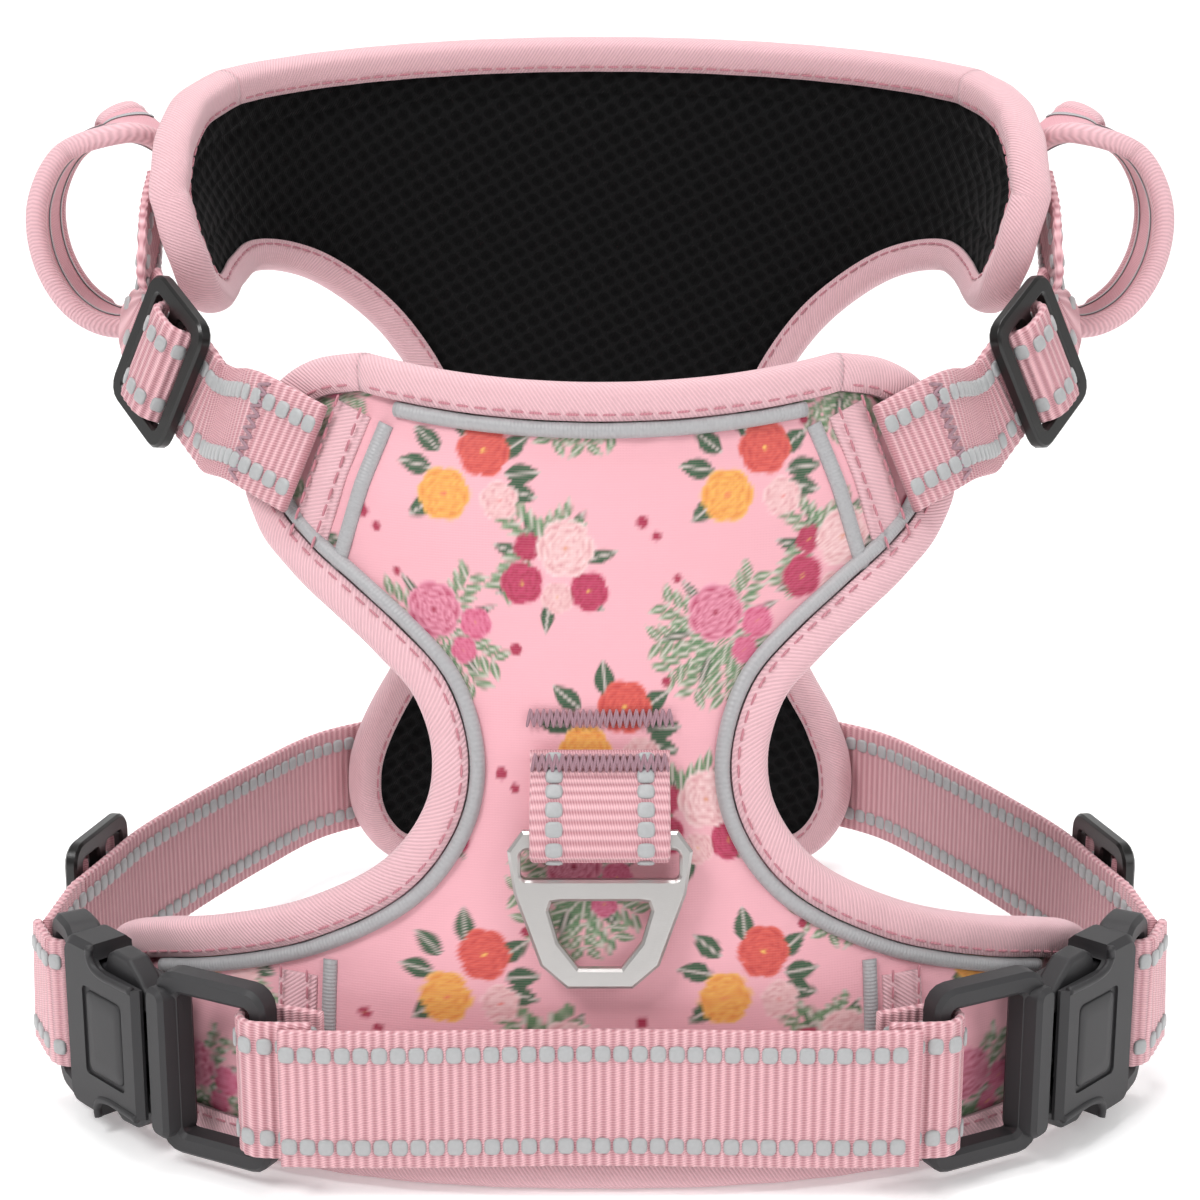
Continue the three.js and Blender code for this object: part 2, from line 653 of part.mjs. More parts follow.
function buildBuckleLoops() {
  const bar = atBuckle(FRAME_END - FRAME_LENGTH + NEAR_BAR / 2, 0, FRAME_ANGLE);
  const facing = BUCKLE_ANGLE + FRAME_ANGLE;
  const turn = turnRound(bar, LOOP_RADIUS, facing - 90, facing + 90, BUCKLE_Z);
  const outer = besideChest(46, BUCKLE_Z, 10);
  const inner = besideChest(46, BUCKLE_Z, 5.2);
  const loop = ribbon(uprightFrames([outer, ...turn, inner]), WEBBING);
  for (const [name, side] of SIDES) add(`buckle_loop_${name}`, onSide(loop, side), webbing);
}

// ---------------------------------------------------------------- sliders

/** A slider with two windows beside a middle bar, x along the strap and y across it. */
function slider(width, length) {
  const shape = roundedRectangle(length, width + 8, 4);
  const window = (length - 3 * 3.4) / 2;
  for (const end of [-1, 1]) {
    const hole = new THREE.Path();
    const points = roundedRectangle(window, width + 1, 1, THREE.Path).getPoints(2);
    hole.setFromPoints(points.map((p) => new THREE.Vector2(p.x + (end * (window + 3.4)) / 2, p.y)));
    shape.holes.push(hole);
  }
  return plate(shape, 2.6, 0.5);
}

/** Webbing turned over the slider's middle bar, dipping into both windows. */
function humpOver(width, length) {
  const reach = length / 2 - 5.4;
  const points = [];
  for (let i = 0; i <= 8; i++) {
    const t = i / 4 - 1;
    points.push(new THREE.Vector3(t * reach, 0, 3.1 - 3.6 * t ** 4));
  }
  return ribbon(uprightFrames(points, new THREE.Vector3(0, 1, 0)), width);
}

/** Turns a piece's own x to along, z to outward and moves it to the place. */
function orient(geometry, place, along, outward) {
  const across = outward.clone().cross(along).normalize();
  const up = along.clone().cross(across).normalize();
  const basis = new THREE.Matrix4().makeBasis(along.clone().normalize(), across, up).setPosition(place);
  return geometry.applyMatrix4(basis);
}

// ---------------------------------------------------------------- neck straps

const NECK_SLIDER = new THREE.Vector3(82.5, FRONT_Y + 76, 130.5);
const NECK_ALONG = new THREE.Vector3(0.526, 0.721, 0.448).normalize();
const NECK_ACROSS = new THREE.Vector3(0.406, 0.249, -0.878).normalize();
const STRAP_BELOW_SLIDER = 2.7; // from a slider's middle down to the strap that it rides on

function neckOutward() {
  const along = NECK_ALONG;
  const across = NECK_ACROSS.clone().addScaledVector(along, -NECK_ACROSS.dot(along)).normalize();
  const outward = across.cross(along).normalize();
  return outward.x < 0 ? outward.negate() : outward;
}

function buildNeckStraps() {
  const outward = neckOutward();
  const across = NECK_ALONG.clone().cross(outward).normalize();
  const under = (distance) => NECK_SLIDER.clone().addScaledVector(NECK_ALONG, distance)
    .addScaledVector(outward, -STRAP_BELOW_SLIDER);
  const onLobe = (u, v, h) => {
    const across = chestSurface(u + 1.7, v - 5).sub(chestSurface(u - 1.7, v + 5)).normalize();
    return { point: chestSurface(u, v, h), across };
  };
  const backAcross = new THREE.Vector3(0.05, 0.93, -0.35).normalize();
  const flip = across.z > 0 ? -1 : 1;
  const middle = across.clone().multiplyScalar(flip);
  const stations = [
    onLobe(49, 119.5, 4.8),
    onLobe(60, 123, 5.4),
    { point: under(-17), across: middle },
    { point: under(0), across: middle },
    { point: under(17), across: middle },
    { point: backSurface(113, 149, 8.4), across: backAcross },
    { point: backSurface(102, 158, 6.6), across: backAcross },
  ];
  const strap = ribbon(framesThrough(stations, 36), NECK_WEBBING);
  const length = 22;
  const frame = orient(slider(NECK_WEBBING, length), NECK_SLIDER, NECK_ALONG, outward);
  const hump = orient(humpOver(NECK_WEBBING, length), NECK_SLIDER, NECK_ALONG, outward);
  for (const [name, side] of SIDES) {
    add(`neck_strap_${name}`, onSide(strap, side), webbing);
    add(`neck_slider_${name}`, onSide(frame, side), glossyPlastic);
    add(`neck_slider_loop_${name}`, onSide(hump, side), webbing);
  }
}

// ---------------------------------------------------------------- girth straps

const GIRTH_SLIDER = new THREE.Vector3(98.5, FRONT_Y + 71, GIRTH_Z + 1);
const GIRTH_ALONG = new THREE.Vector3(-0.24, 0.97, 0).normalize();
const GIRTH_OUTWARD = new THREE.Vector3(0.97, 0.24, 0).normalize();

function buildGirthStraps() {
  const upright = new THREE.Vector3(0, 0, 1);
  const under = (distance) => GIRTH_SLIDER.clone().addScaledVector(GIRTH_ALONG, distance)
    .addScaledVector(GIRTH_OUTWARD, -STRAP_BELOW_SLIDER).setZ(GIRTH_Z);
  const place = (x, depth) => new THREE.Vector3(x, FRONT_Y + depth, GIRTH_Z);
  const points = [under(-13), under(0), under(14), place(85.5, 102), place(74.5, 126),
    place(63, 146.5), place(47, 159.5)];
  const stations = points.map((point) => ({ point, across: upright }));
  const strap = ribbon(framesThrough(stations, 30), WEBBING);
  const length = 24;
  const frame = orient(slider(WEBBING, length), GIRTH_SLIDER, GIRTH_ALONG, GIRTH_OUTWARD);
  const hump = orient(humpOver(WEBBING, length), GIRTH_SLIDER, GIRTH_ALONG, GIRTH_OUTWARD);
  for (const [name, side] of SIDES) {
    add(`girth_strap_${name}`, onSide(strap, side), webbing);
    add(`girth_slider_${name}`, onSide(frame, side), glossyPlastic);
    add(`girth_slider_loop_${name}`, onSide(hump, side), webbing);
  }
}

/** The webbing through each socket's loop, which comes away with the socket. */
function buildSocketLoops() {
  const bend = THREE.MathUtils.degToRad(BUCKLE_ANGLE + LOOP_ANGLE);
  const hinge = atBuckle(SOCKET_MOUTH + SOCKET_LENGTH - 1.2, 0);
  const bar = hinge.clone().add(new THREE.Vector3(Math.cos(bend), Math.sin(bend), 0).multiplyScalar(9));
  const facing = BUCKLE_ANGLE + LOOP_ANGLE;
  const radius = 4.3;
  const turn = turnRound(bar, radius, facing + 270, facing + 120, BUCKLE_Z);
  const direction = new THREE.Vector3(Math.cos(bend), Math.sin(bend), 0);
  const outer = turn[0].clone().addScaledVector(direction, 8).setZ(BUCKLE_Z + 1);
  const loop = ribbon(uprightFrames([outer, ...turn]), WEBBING);
  for (const [name, side] of SIDES) add(`socket_loop_${name}`, onSide(loop, side), webbing);
}

// ---------------------------------------------------------------- back plate and handles

const BACK_ROWS = 26;
const BACK_COLUMNS = 14;
const back = layOutPanel(backSurface, [
  [40, 0.65, 0.05], [50, 4, 6], [57, 13, 14], [58.5, 25, 26], [55, 36, 37], [48, 48, 49], [40, 62, 63],
  [35.5, 76, 77],
  [34, 90, 91], [36.5, 104, 105], [43, 118, 121], [53, 130, 138], [67, 138.5, 151], [83, 141, 160],
  [97, 138, 166],
  [109, 136, 171], [118, 140, 174.5], [121.5, 149, 177.5], [119, 160, 180.5], [112, 169.5, 183],
  [100, 177.3, 185.5],
  [84, 182, 187.3],
], BACK_ROWS, BACK_COLUMNS);

function buildBackPlate() {
  const lowerRight = BACK_COLUMNS;
  const upperRight = BACK_COLUMNS + BACK_ROWS;
  const upperLeft = upperRight + BACK_COLUMNS;
  const lowerLeft = upperLeft + BACK_ROWS;
  add('back_cover', panelLayer(back, COVER), printedFabric);
  add('back_lining', panelLayer(back, LINING), meshFabric);
  add('back_binding_lower', edgeTrim(back, BINDING_SECTION, 0, lowerRight), twillTape);
  add('back_binding_right', edgeTrim(back, BINDING_SECTION, lowerRight, upperRight), twillTape);
  add('back_binding_top', edgeTrim(back, BINDING_SECTION, upperRight, upperLeft), twillTape);
  add('back_binding_left', edgeTrim(back, BINDING_SECTION, upperLeft, lowerLeft), twillTape);
}

function buildHandles() {
  const sewn = (u, v, h) => {
    const across = backSurface(u + 5, v).sub(backSurface(u - 5, v)).normalize();
    return { point: backSurface(u, v, h), across: across.negate() };
  };
  const free = (x, depth, z) => ({
    point: new THREE.Vector3(x, FRONT_Y + depth, z),
    across: new THREE.Vector3(0, 1, 0),
  });
  const stations = [
    sewn(88, 168, 12), free(96.5, 114, 170), free(105, 113, 166.5), free(110, 112, 157),
    free(109.5, 112, 146),
    free(104.5, 112, 137), free(97.5, 113, 133), sewn(94, 138, 12.5),
  ];
  const handle = ribbon(framesThrough(stations, 26), 22, 4);
  for (const [name, side] of SIDES) add(`handle_${name}`, onSide(handle, side), twillTape);
}

buildChestPlate();
buildChestTapes();
buildChestBand();
buildLeashPoints();
buildBuckles();
buildBuckleLoops();
buildNeckStraps();
buildGirthStraps();
buildSocketLoops();
buildBackPlate();
buildHandles();

export default harness;
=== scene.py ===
"""Looks of the no pull dog harness: fine fabric, trim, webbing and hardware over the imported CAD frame."""

import math

import bmesh
import bpy
import numpy as np
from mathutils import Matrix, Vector


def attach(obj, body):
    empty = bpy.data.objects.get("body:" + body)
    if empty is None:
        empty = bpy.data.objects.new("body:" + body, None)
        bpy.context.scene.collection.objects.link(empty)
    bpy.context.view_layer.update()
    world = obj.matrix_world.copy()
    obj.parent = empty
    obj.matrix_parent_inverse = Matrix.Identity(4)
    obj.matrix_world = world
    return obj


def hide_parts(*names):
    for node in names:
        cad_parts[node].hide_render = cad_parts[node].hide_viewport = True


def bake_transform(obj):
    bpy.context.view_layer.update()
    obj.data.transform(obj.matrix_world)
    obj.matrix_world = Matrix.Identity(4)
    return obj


# ------------------------------------------------------------------ driving dimensions, in millimetres

MM = 0.001
FRONT_Y = -78.1  # the chest plate's front
REAR_DEPTH = 158  # from there to the back plate's middle
FRONT_ARC = (98, 80, 2.4)  # half width, depth, power
REAR_ARC = (83, 60, 2.5)
COVER_TOP = 1.4  # heights above a panel's surface
COVER_EDGE = 0.6
COVER_UNDERSIDE = 0.05
PUFF = 0.9  # how far the stuffed middle rises
PUFF_START = 5  # the rise begins and ends at these distances from a panel's edge
PUFF_END = 26
PUCKER = 0.11  # how high the cover's gathers and its soft waves are
SWELL = 0.14
FABRIC_INSET = 2.0  # from a panel's outline to its cover and lining
OUTLINE_PITCH = 1.2  # between the points of a panel's outline
LINING_TOP = -0.3
LINING_BOTTOM = -2.4
BINDING_WIDTH = 6.6
BINDING_MIDDLE = -0.75
BINDING_HALF = 3.75
STITCH_INSET = 5.6
STITCH_PITCH = 3.0
STITCH_LENGTH = 2.3
STITCH_WIDTH = 0.45
TACK_PITCH = 1.1
STUD_ROUNDNESS = 0.6  # 1 is a ball, and less is nearer a block
WEBBING = 25
NECK_WEBBING = 20
WEBBING_THICK = 1.6
RIB_PITCH = 1.6
BEAD_PITCH = 3.1
BEAD_SIZE = (2.75, 3.0, 0.85)
BEAD_START = 1.5  # from a strap's end to its first bead
BEAD_INSET = 4.1  # from the webbing's edge to the middle of its row of beads
BAND_Z = 19.5
RING_PIVOT_HEIGHT = 5.8  # of a leash ring's bar, off its panel
NECK_SLIDER = (82.5, FRONT_Y + 76, 130.5)  # the right sliders' middles
GIRTH_SLIDER = (98.5, FRONT_Y + 71, 23)
BUCKLE_PLACE = (73.5, 20, 9.2)  # the right buckle's middle: across the chest plate, up, and off it
BUCKLE_ANGLE = 47  # degrees from +X to the buckle's length
FRAME_BEND = -19  # degrees from there to the male frame
FAR_LOOP_ANGLE = 61  # degrees from +X to the socket's far loop
FRAME_START = 0.2  # along the buckle
FRAME_LENGTH = 23
FRAME_BAR_INSET = 1.7
SOCKET_START = 2.2
SOCKET_LENGTH = 23.5
SOCKET_BAR_INSET = 1.2
SOCKET_FACE = 4.25  # off the buckle's middle
HANDLE_WIDTH = 19
UPRIGHT = (0, 0, 1)
SIDES = (("left", -1), ("right", 1))
CORNER_STRIPS = (  # node, first and last flat points, width, thickness
    ("corner_tape_upper", (42.2, 129.0), (50.6, 107.0), 7, 0.9),
    ("corner_tape_lower", (52.5, 34.6), (52.5, 9.0), 7.5, 0.9),
    ("cross_piping_upper", (36.2, 127.0), (45.4, 102.5), 2.6, 1.2),
    ("cross_piping_lower", (46.5, 37.6), (46.5, 9.0), 2.6, 1.2),
)
LAMP_TARGET = (0, 0, 0.09)  # in metres

CHEST_SIDE = [
    (93, 0.65, 0.05), (101.5, 4, 6), (106, 14, 16), (105, 24.5, 26), (98, 32, 33), (86, 36.6, 39),
    (70, 41, 45), (52, 47, 51), (37, 55.5, 58), (30.2, 64.5, 66), (28.6, 73, 74), (31.5, 82.5, 83),
    (38, 89, 90), (46, 95, 97), (54, 100.5, 104), (61, 107, 112), (64.3, 115, 119), (63, 124, 125),
    (57.5, 131.5, 130), (50, 136.5, 133), (41, 138.6, 135.5),
]
BACK_SIDE = [
    (40, 0.65, 0.05), (50, 4, 6), (57, 13, 14), (58.5, 25, 26), (55, 36, 37), (48, 48, 49), (40, 62, 63),
    (35.5, 76, 77), (34, 90, 91), (36.5, 104, 105), (43, 118, 121), (53, 130, 138), (67, 138.5, 151),
    (83, 141, 160), (97, 138, 166), (109, 136, 171), (118, 140, 174.5), (121.5, 149, 177.5),
    (119, 160, 180.5), (112, 169.5, 183), (100, 177.3, 185.5), (84, 182, 187.3),
]

# ------------------------------------------------------------------ colours, linear


def srgb(red, green, blue):
    """A colour for a shader from display values of 0 to 255."""
    def linear(value):
        value /= 255
        return value / 12.92 if value <= 0.04045 else ((value + 0.055) / 1.055) ** 2.4
    return (linear(red), linear(green), linear(blue), 1)


PINK = srgb(230, 169, 179)
TWILL = srgb(232, 186, 193)
WEBBING_PINK = srgb(200, 132, 142)
STITCH_PINK = srgb(196, 126, 138)
PIPING_GREY = srgb(168, 167, 169)
BEAD_GREY = srgb(172, 173, 174)
# Near black for painted shade inside the air mesh's holes.
HOLE_SHADE_BLACK = srgb(10, 10, 11)
CHARCOAL = srgb(40, 39, 41)
GLOSSY_BLACK = srgb(8, 6, 5)
ALUMINIUM = srgb(205, 202, 200)
THREAD_MAUVE = srgb(158, 120, 132)
BLUSH = srgb(246, 224, 222)
CRIMSON = srgb(150, 26, 58)
DUSTY = srgb(206, 142, 146)
CORAL = srgb(226, 104, 88)
YELLOW = srgb(236, 190, 96)
ROSE = srgb(208, 74, 116)
LEAF = srgb(44, 84, 56)
SPRAY = srgb(92, 132, 92)
SAND = srgb(214, 150, 120)
AMBER = srgb(216, 128, 52)
BRICK = srgb(182, 52, 50)
BUD_DEEP = srgb(186, 60, 100)
BUD_PALE = srgb(240, 158, 186)
PEONY_DEEP = srgb(168, 44, 84)
PEONY_PALE = srgb(244, 176, 196)

# ------------------------------------------------------------------ curved panels, in millimetres


def unit(vectors):
    """Each vector made one long."""
    return vectors / np.linalg.norm(vectors, axis=-1, keepdims=True)


def smoothstep(value, low, high):
    share = np.clip((value - low) / (high - low), 0, 1)
    return share * share * (3 - 2 * share)


def run_length(points):
    """The distance along a run of points, from its first."""
    return np.concatenate([[0], np.cumsum(np.linalg.norm(np.diff(points, axis=0), axis=1))])


def arc_by_length(half_width, depth, power):
    """Across and back along a superellipse, by the length along it from its middle."""
    angle = np.linspace(0, math.pi / 2, 401)
    across = half_width * np.sin(angle) ** (2 / power)
    back = depth * (1 - np.cos(angle) ** (2 / power))
    length = np.concatenate([[0], np.cumsum(np.hypot(np.diff(across), np.diff(back)))])
    slope = (back[-1] - back[-2]) / (length[-1] - length[-2])

    def at(u):
        far = np.abs(u)
        beyond = np.maximum(far - length[-1], 0) * slope
        return np.sign(u) * np.interp(far, length, across), np.interp(far, length, back) + beyond

    return at


front_arc = arc_by_length(*FRONT_ARC)
rear_arc = arc_by_length(*REAR_ARC)


def chest_point(u, v):
    """The chest plate's middle surface, which leans back."""
    x, back = front_arc(u)
    rise = np.maximum(v, 0) / 138
    y = FRONT_Y + back + 27 * rise**1.3 + 13 * rise**2 * (x / 55) ** 2
    return np.stack([x, y, v + 0 * x], axis=-1)


def back_point(u, v):
    """The back plate's middle surface, whose yoke wraps forward."""
    x, forward = rear_arc(u)
    rise = np.maximum(v, 0) / 187
    narrowing = 1 - 0.0035 * smoothstep(np.abs(u), 50, 110) * np.clip(160 - v, 0, 30)
    y = FRONT_Y + REAR_DEPTH - forward - 11 * rise**2
    return np.stack([x * narrowing, y, v + 0 * x], axis=-1)


def raised(surface, outward):
    """A surface's point at u, v, raised by h along its outward normal."""
    step = 0.5

    def at(u, v, h=0.0):
        u, v = np.broadcast_arrays(np.asarray(u, float), np.asarray(v, float))
        along = surface(u + step, v) - surface(u - step, v)
        up = surface(u, v + step) - surface(u, v - step)
        return surface(u, v) + unit(np.cross(along, up)) * outward * np.asarray(h, float)[..., None]

    return at


chest_surface = raised(chest_point, 1)
back_surface = raised(back_point, -1)


def smooth_curve(points, count=None, pitch=None):
    """Evenly spaced points along a centripetal Catmull-Rom curve."""
    points = np.asarray(points, float)
    points = np.vstack([2 * points[0] - points[1], points, 2 * points[-1] - points[-2]])
    share = np.linspace(0, 1, 40, endpoint=False)[:, None]
    fine = []
    for p0, p1, p2, p3 in zip(points, points[1:], points[2:], points[3:]):
        d0, d1, d2 = (math.sqrt(np.linalg.norm(b - a)) for a, b in ((p0, p1), (p1, p2), (p2, p3)))
        leave = ((p1 - p0) / d0 - (p2 - p0) / (d0 + d1) + (p2 - p1) / d1) * d1
        arrive = ((p2 - p1) / d1 - (p3 - p1) / (d1 + d2) + (p3 - p2) / d2) * d1
        bend = 2 * p1 - 2 * p2 + leave + arrive
        swing = -3 * p1 + 3 * p2 - 2 * leave - arrive
        fine.append(p1 + leave * share + swing * share**2 + bend * share**3)
    fine.append(points[-2:-1])
    return evenly(np.vstack(fine), count, pitch)


def evenly(points, count=None, pitch=None):
    """A run of points again, at even distances: count of them, or about pitch apart."""
    length = run_length(points)
    count = count or max(3, round(length[-1] / pitch) + 1)
    at = np.linspace(0, length[-1], count)
    return np.stack([np.interp(at, length, column) for column in points.T], axis=-1)


class Panel:
    """A panel that is symmetric about u = 0, laid out between its two sides' curves."""

    def __init__(self, name, surface, side, rows, columns):
        self.name = name
        self.surface = surface
        self.columns = columns
        self.edge = smooth_curve(side, rows)
        self.outline = self.closed_outline()
        before = np.roll(self.outline, 4, axis=0)
        after = np.roll(self.outline, -4, axis=0)
        self.inward = unit(np.stack([(before - after)[:, 1], (after - before)[:, 0]], axis=-1))
        self.corners = self.corner_places()

    def row(self, corner, share):
        """Flat points of one row, from its right end's u, v and its height in the middle."""
        u, v, spine = corner
        return np.stack([share * u, spine + (v - spine) * share**2], axis=-1)

    def closed_outline(self):
        share = np.linspace(-1, 1, 200)
        right = self.edge[:, :2]
        left = right[::-1] * (-1, 1)
        bottom = self.row(self.edge[0], share)
        top = self.row(self.edge[-1], share[::-1])
        ring = np.vstack([bottom[:-1], right[:-1], top[:-1], left])
        return evenly(ring, pitch=OUTLINE_PITCH)[:-1]

    def corner_places(self):
        """Outline stations of the lower right, upper right, upper left and lower left corners."""
        ends = [self.edge[0, :2], self.edge[-1, :2], self.edge[-1, :2] * (-1, 1)]
        near = [int(np.argmin(np.linalg.norm(self.outline - end, axis=1))) for end in ends]
        return near + [len(self.outline)]

    def distance_to_edge(self, flat):
        """How far flat points are from the outline."""
        nearest = np.full(flat.shape[:-1], 1e9)
        for point in self.outline[::2]:
            nearest = np.minimum(nearest, np.hypot(flat[..., 0] - point[0], flat[..., 1] - point[1]))
        return nearest

    def grid(self, inset):
        """Flat points over the whole panel, drawn in from its edge by inset."""
        share = np.linspace(-1, 1, self.columns)
        rise = np.linspace(0, 1, len(self.edge))
        edge = self.edge.copy()
        tangent = np.gradient(edge[:, :2], axis=0)
        edge[:, :2] += unit(np.stack([-tangent[:, 1], tangent[:, 0]], axis=-1)) * inset
        edge[:, 2] += inset * ((1 - rise) ** 8 - rise**8)
        return np.stack([self.row(corner, share) for corner in edge])


# ------------------------------------------------------------------ meshes


def make_piece(name, points, faces, body, material, flat=None):
    """A smooth mesh object from points in millimetres that rides on a body; flat fills its UV map."""
    mesh = bpy.data.meshes.new(name)
    mesh.from_pydata((np.asarray(points) * MM).tolist(), [], [list(map(int, f)) for f in faces])
    mesh.validate()
    mesh.update()
    mesh.polygons.foreach_set("use_smooth", [True] * len(mesh.polygons))
    if flat is not None:
        corner_points = np.empty(len(mesh.loops), int)
        mesh.loops.foreach_get("vertex_index", corner_points)
        layer = mesh.uv_layers.new(name="Flat")
        layer.data.foreach_set("uv", np.asarray(flat, np.float32)[corner_points].ravel())
    mesh.materials.append(material)
    piece = bpy.data.objects.new(name, mesh)
    bpy.context.scene.collection.objects.link(piece)
    if body:
        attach(piece, body)
    return piece


def grid_faces(rows, columns, start=0, flip=False):
    """Quads between the points of a grid."""
    i, j = np.meshgrid(np.arange(rows - 1), np.arange(columns - 1), indexing="ij")
    corner = start + i * columns + j
    quads = np.stack([corner, corner + 1, corner + columns + 1, corner + columns], axis=-1).reshape(-1, 4)
    return quads[:, ::-1] if flip else quads


def slab_faces(rows, columns):
    """Faces of a slab whose top and bottom are grids, stored one after the other."""
    under = rows * columns
    rim = np.concatenate([
        np.arange(columns), np.arange(1, rows) * columns + columns - 1,
        (rows - 1) * columns + np.arange(columns - 2, -1, -1), np.arange(rows - 2, 0, -1) * columns,
    ])
    following = np.roll(rim, -1)
    sides = np.stack([rim, rim + under, following + under, following], axis=-1)
    return np.vstack([grid_faces(rows, columns), grid_faces(rows, columns, under, flip=True), sides])


def tube_faces(rings, count):
    """Faces round a tube of rings, with a face across each end."""
    i, j = np.meshgrid(np.arange(rings - 1), np.arange(count), indexing="ij")
    k = (j + 1) % count
    quads = np.stack([i * count + j, (i + 1) * count + j, (i + 1) * count + k, i * count + k], axis=-1)
    faces = [tuple(quad) for quad in quads.reshape(-1, 4)]
    faces.append(tuple(range(count)))
    faces.append(tuple((rings - 1) * count + j for j in reversed(range(count))))
    return faces


def tube_piece(name, rings, reach, around, body, material):
    """A tube through rings of points; its fabric lies flat by reach along it and around it."""
    flats = np.stack(np.broadcast_arrays(reach[:, None], around[None]), axis=-1)
    faces = tube_faces(*rings.shape[:2])
    return make_piece(name, rings.reshape(-1, 3), faces, body, material, flats.reshape(-1, 2))


def frames_along(points, across):
    """Unit vectors along, across and off a run of points."""
    along = unit(np.gradient(points, axis=0))
    across = np.broadcast_to(np.asarray(across, float), points.shape)
    across = unit(across - along * np.sum(across * along, axis=1, keepdims=True))
    return along, across, np.cross(along, across)


def stud_shape():
    """Points and faces of a rounded block that is two across."""
    ball = bpy.data.meshes.new("ball")
    sphere = bmesh.new()
    bmesh.ops.create_icosphere(sphere, subdivisions=2, radius=1)
    sphere.to_mesh(ball)
    sphere.free()
    corners = np.array([v.co for v in ball.vertices])
    faces = np.array([p.vertices[:] for p in ball.polygons])
    bpy.data.meshes.remove(ball)
    return np.sign(corners) * np.abs(corners) ** STUD_ROUNDNESS, faces


def studs(name, places, along, across, size, body, material):
    """Many small rounded blocks in one piece, such as beads or stitches."""
    corners, faces = stud_shape()
    scaled = corners * (np.asarray(size) / 2)
    points = places[:, None]
    for axis, vectors in enumerate((along, across, np.cross(along, across))):
        points = points + scaled[None, :, axis:axis + 1] * vectors[:, None]
    starts = np.arange(len(places))[:, None, None] * len(corners)
    all_faces = (faces[None] + starts).reshape(-1, 3)
    return make_piece(name, points.reshape(-1, 3), all_faces, body, material)


def stitch_row(name, surface, line, height, depth, skipped, body, material):
    """Stitches on a surface along a line of flat points, without the skipped ones at its ends."""
    flat = evenly(line, pitch=STITCH_PITCH)
    points = surface(flat[:, 0], flat[:, 1], height)
    along = unit(np.gradient(points, axis=0))
    off = unit(surface(flat[:, 0], flat[:, 1], height + 1) - points)
    across = np.cross(off, along)
    kept = slice(skipped, len(points) - skipped)
    size = (STITCH_LENGTH, STITCH_WIDTH, depth)
    studs(name, points[kept], along[kept], across[kept], size, body, material)


# ------------------------------------------------------------------ materials


class Shader:
    """A Principled material whose nodes are joined by short calls."""

    def __init__(self, name, roughness=0.6, metallic=0.0, sheen=0.0, coat=0.0, specular=0.5):
        self.material = bpy.data.materials.new(name)
        self.material.use_nodes = True
        self.tree = self.material.node_tree
        self.surface = self.tree.nodes["Principled BSDF"]
        self.surface.inputs["Roughness"].default_value = roughness
        self.surface.inputs["Metallic"].default_value = metallic
        self.surface.inputs["Sheen Weight"].default_value = sheen
        self.surface.inputs["Coat Weight"].default_value = coat
        self.surface.inputs["Specular IOR Level"].default_value = specular
        self.flat = self.tree.nodes.new("ShaderNodeUVMap")
        self.flat.uv_map = "Flat"

    def node(self, kind, **settings):
        made = self.tree.nodes.new(kind)
        for key, value in settings.items():
            if key in made.inputs:
                made.inputs[key].default_value = value
            else:
                setattr(made, key, value)
        return made

    def join(self, output, target):
        self.tree.links.new(output, target)

    def place(self, flat=True):
        """The place that a pattern is read at: the fabric's own flat one, or the object's."""
        if flat:
            return self.flat.outputs["UV"]
        return self.node("ShaderNodeTexCoord").outputs["Object"]

    def scaled(self, factors, turn=0.0, flat=True):
        mapping = self.node("ShaderNodeMapping")
        mapping.inputs["Scale"].default_value = factors
        mapping.inputs["Rotation"].default_value = (0, 0, turn)
        self.join(self.place(flat), mapping.inputs["Vector"])
        return mapping.outputs["Vector"]

    def noise(self, scale, detail=2.0, flat=True, factors=(1, 1, 1)):
        noise = self.node("ShaderNodeTexNoise", Scale=scale, Detail=detail)
        self.join(self.scaled(factors, flat=flat), noise.inputs["Vector"])
        return noise.outputs[0]

    def wave(self, pitch, turn=0.0, flat=True):
        """A sine ridge that repeats at pitch, from 0 to 1; turn is in degrees."""
        wave = self.node("ShaderNodeTexWave", wave_type="BANDS", bands_direction="X", wave_profile="SIN")
        wave.inputs["Scale"].default_value = math.pi / 10 / pitch
        self.join(self.scaled((1, 1, 1), math.radians(turn), flat), wave.inputs["Vector"])
        return wave.outputs["Fac"]

    def math(self, operation, first, second):
        made = self.node("ShaderNodeMath", operation=operation)
        for socket, value in zip(made.inputs, (first, second)):
            if isinstance(value, (int, float)):
                socket.default_value = value
            else:
                self.join(value, socket)
        return made.outputs[0]

    def mix(self, amount, first, second):
        """A colour between two, which are colours or outputs."""
        made = self.node("ShaderNodeMix", data_type="RGBA")
        self.join(amount, made.inputs["Factor"])
        for socket, value in ((made.inputs[6], first), (made.inputs[7], second)):
            if isinstance(value, tuple):
                socket.default_value = value
            else:
                self.join(value, socket)
        return made.outputs[2]

    def colour(self, output):
        self.join(output, self.surface.inputs["Base Color"])

    def roughness(self, amount, low, high):
        spread = self.node("ShaderNodeMapRange")
        spread.inputs["To Min"].default_value = low
        spread.inputs["To Max"].default_value = high
        self.join(amount, spread.inputs["Value"])
        self.join(spread.outputs[0], self.surface.inputs["Roughness"])

    def bump(self, height, distance, strength=1.0):
        """Adds relief, distance in metres; a second call adds to the first."""
        bump = self.node("ShaderNodeBump")
        bump.inputs["Distance"].default_value = distance
        bump.inputs["Strength"].default_value = strength
        self.join(height, bump.inputs["Height"])
        before = self.surface.inputs["Normal"]
        if before.is_linked:
            self.join(before.links[0].from_socket, bump.inputs["Normal"])
        self.join(bump.outputs["Normal"], self.surface.inputs["Normal"])


def darker(colour, share):
    return tuple(c * share for c in colour[:3]) + (1,)


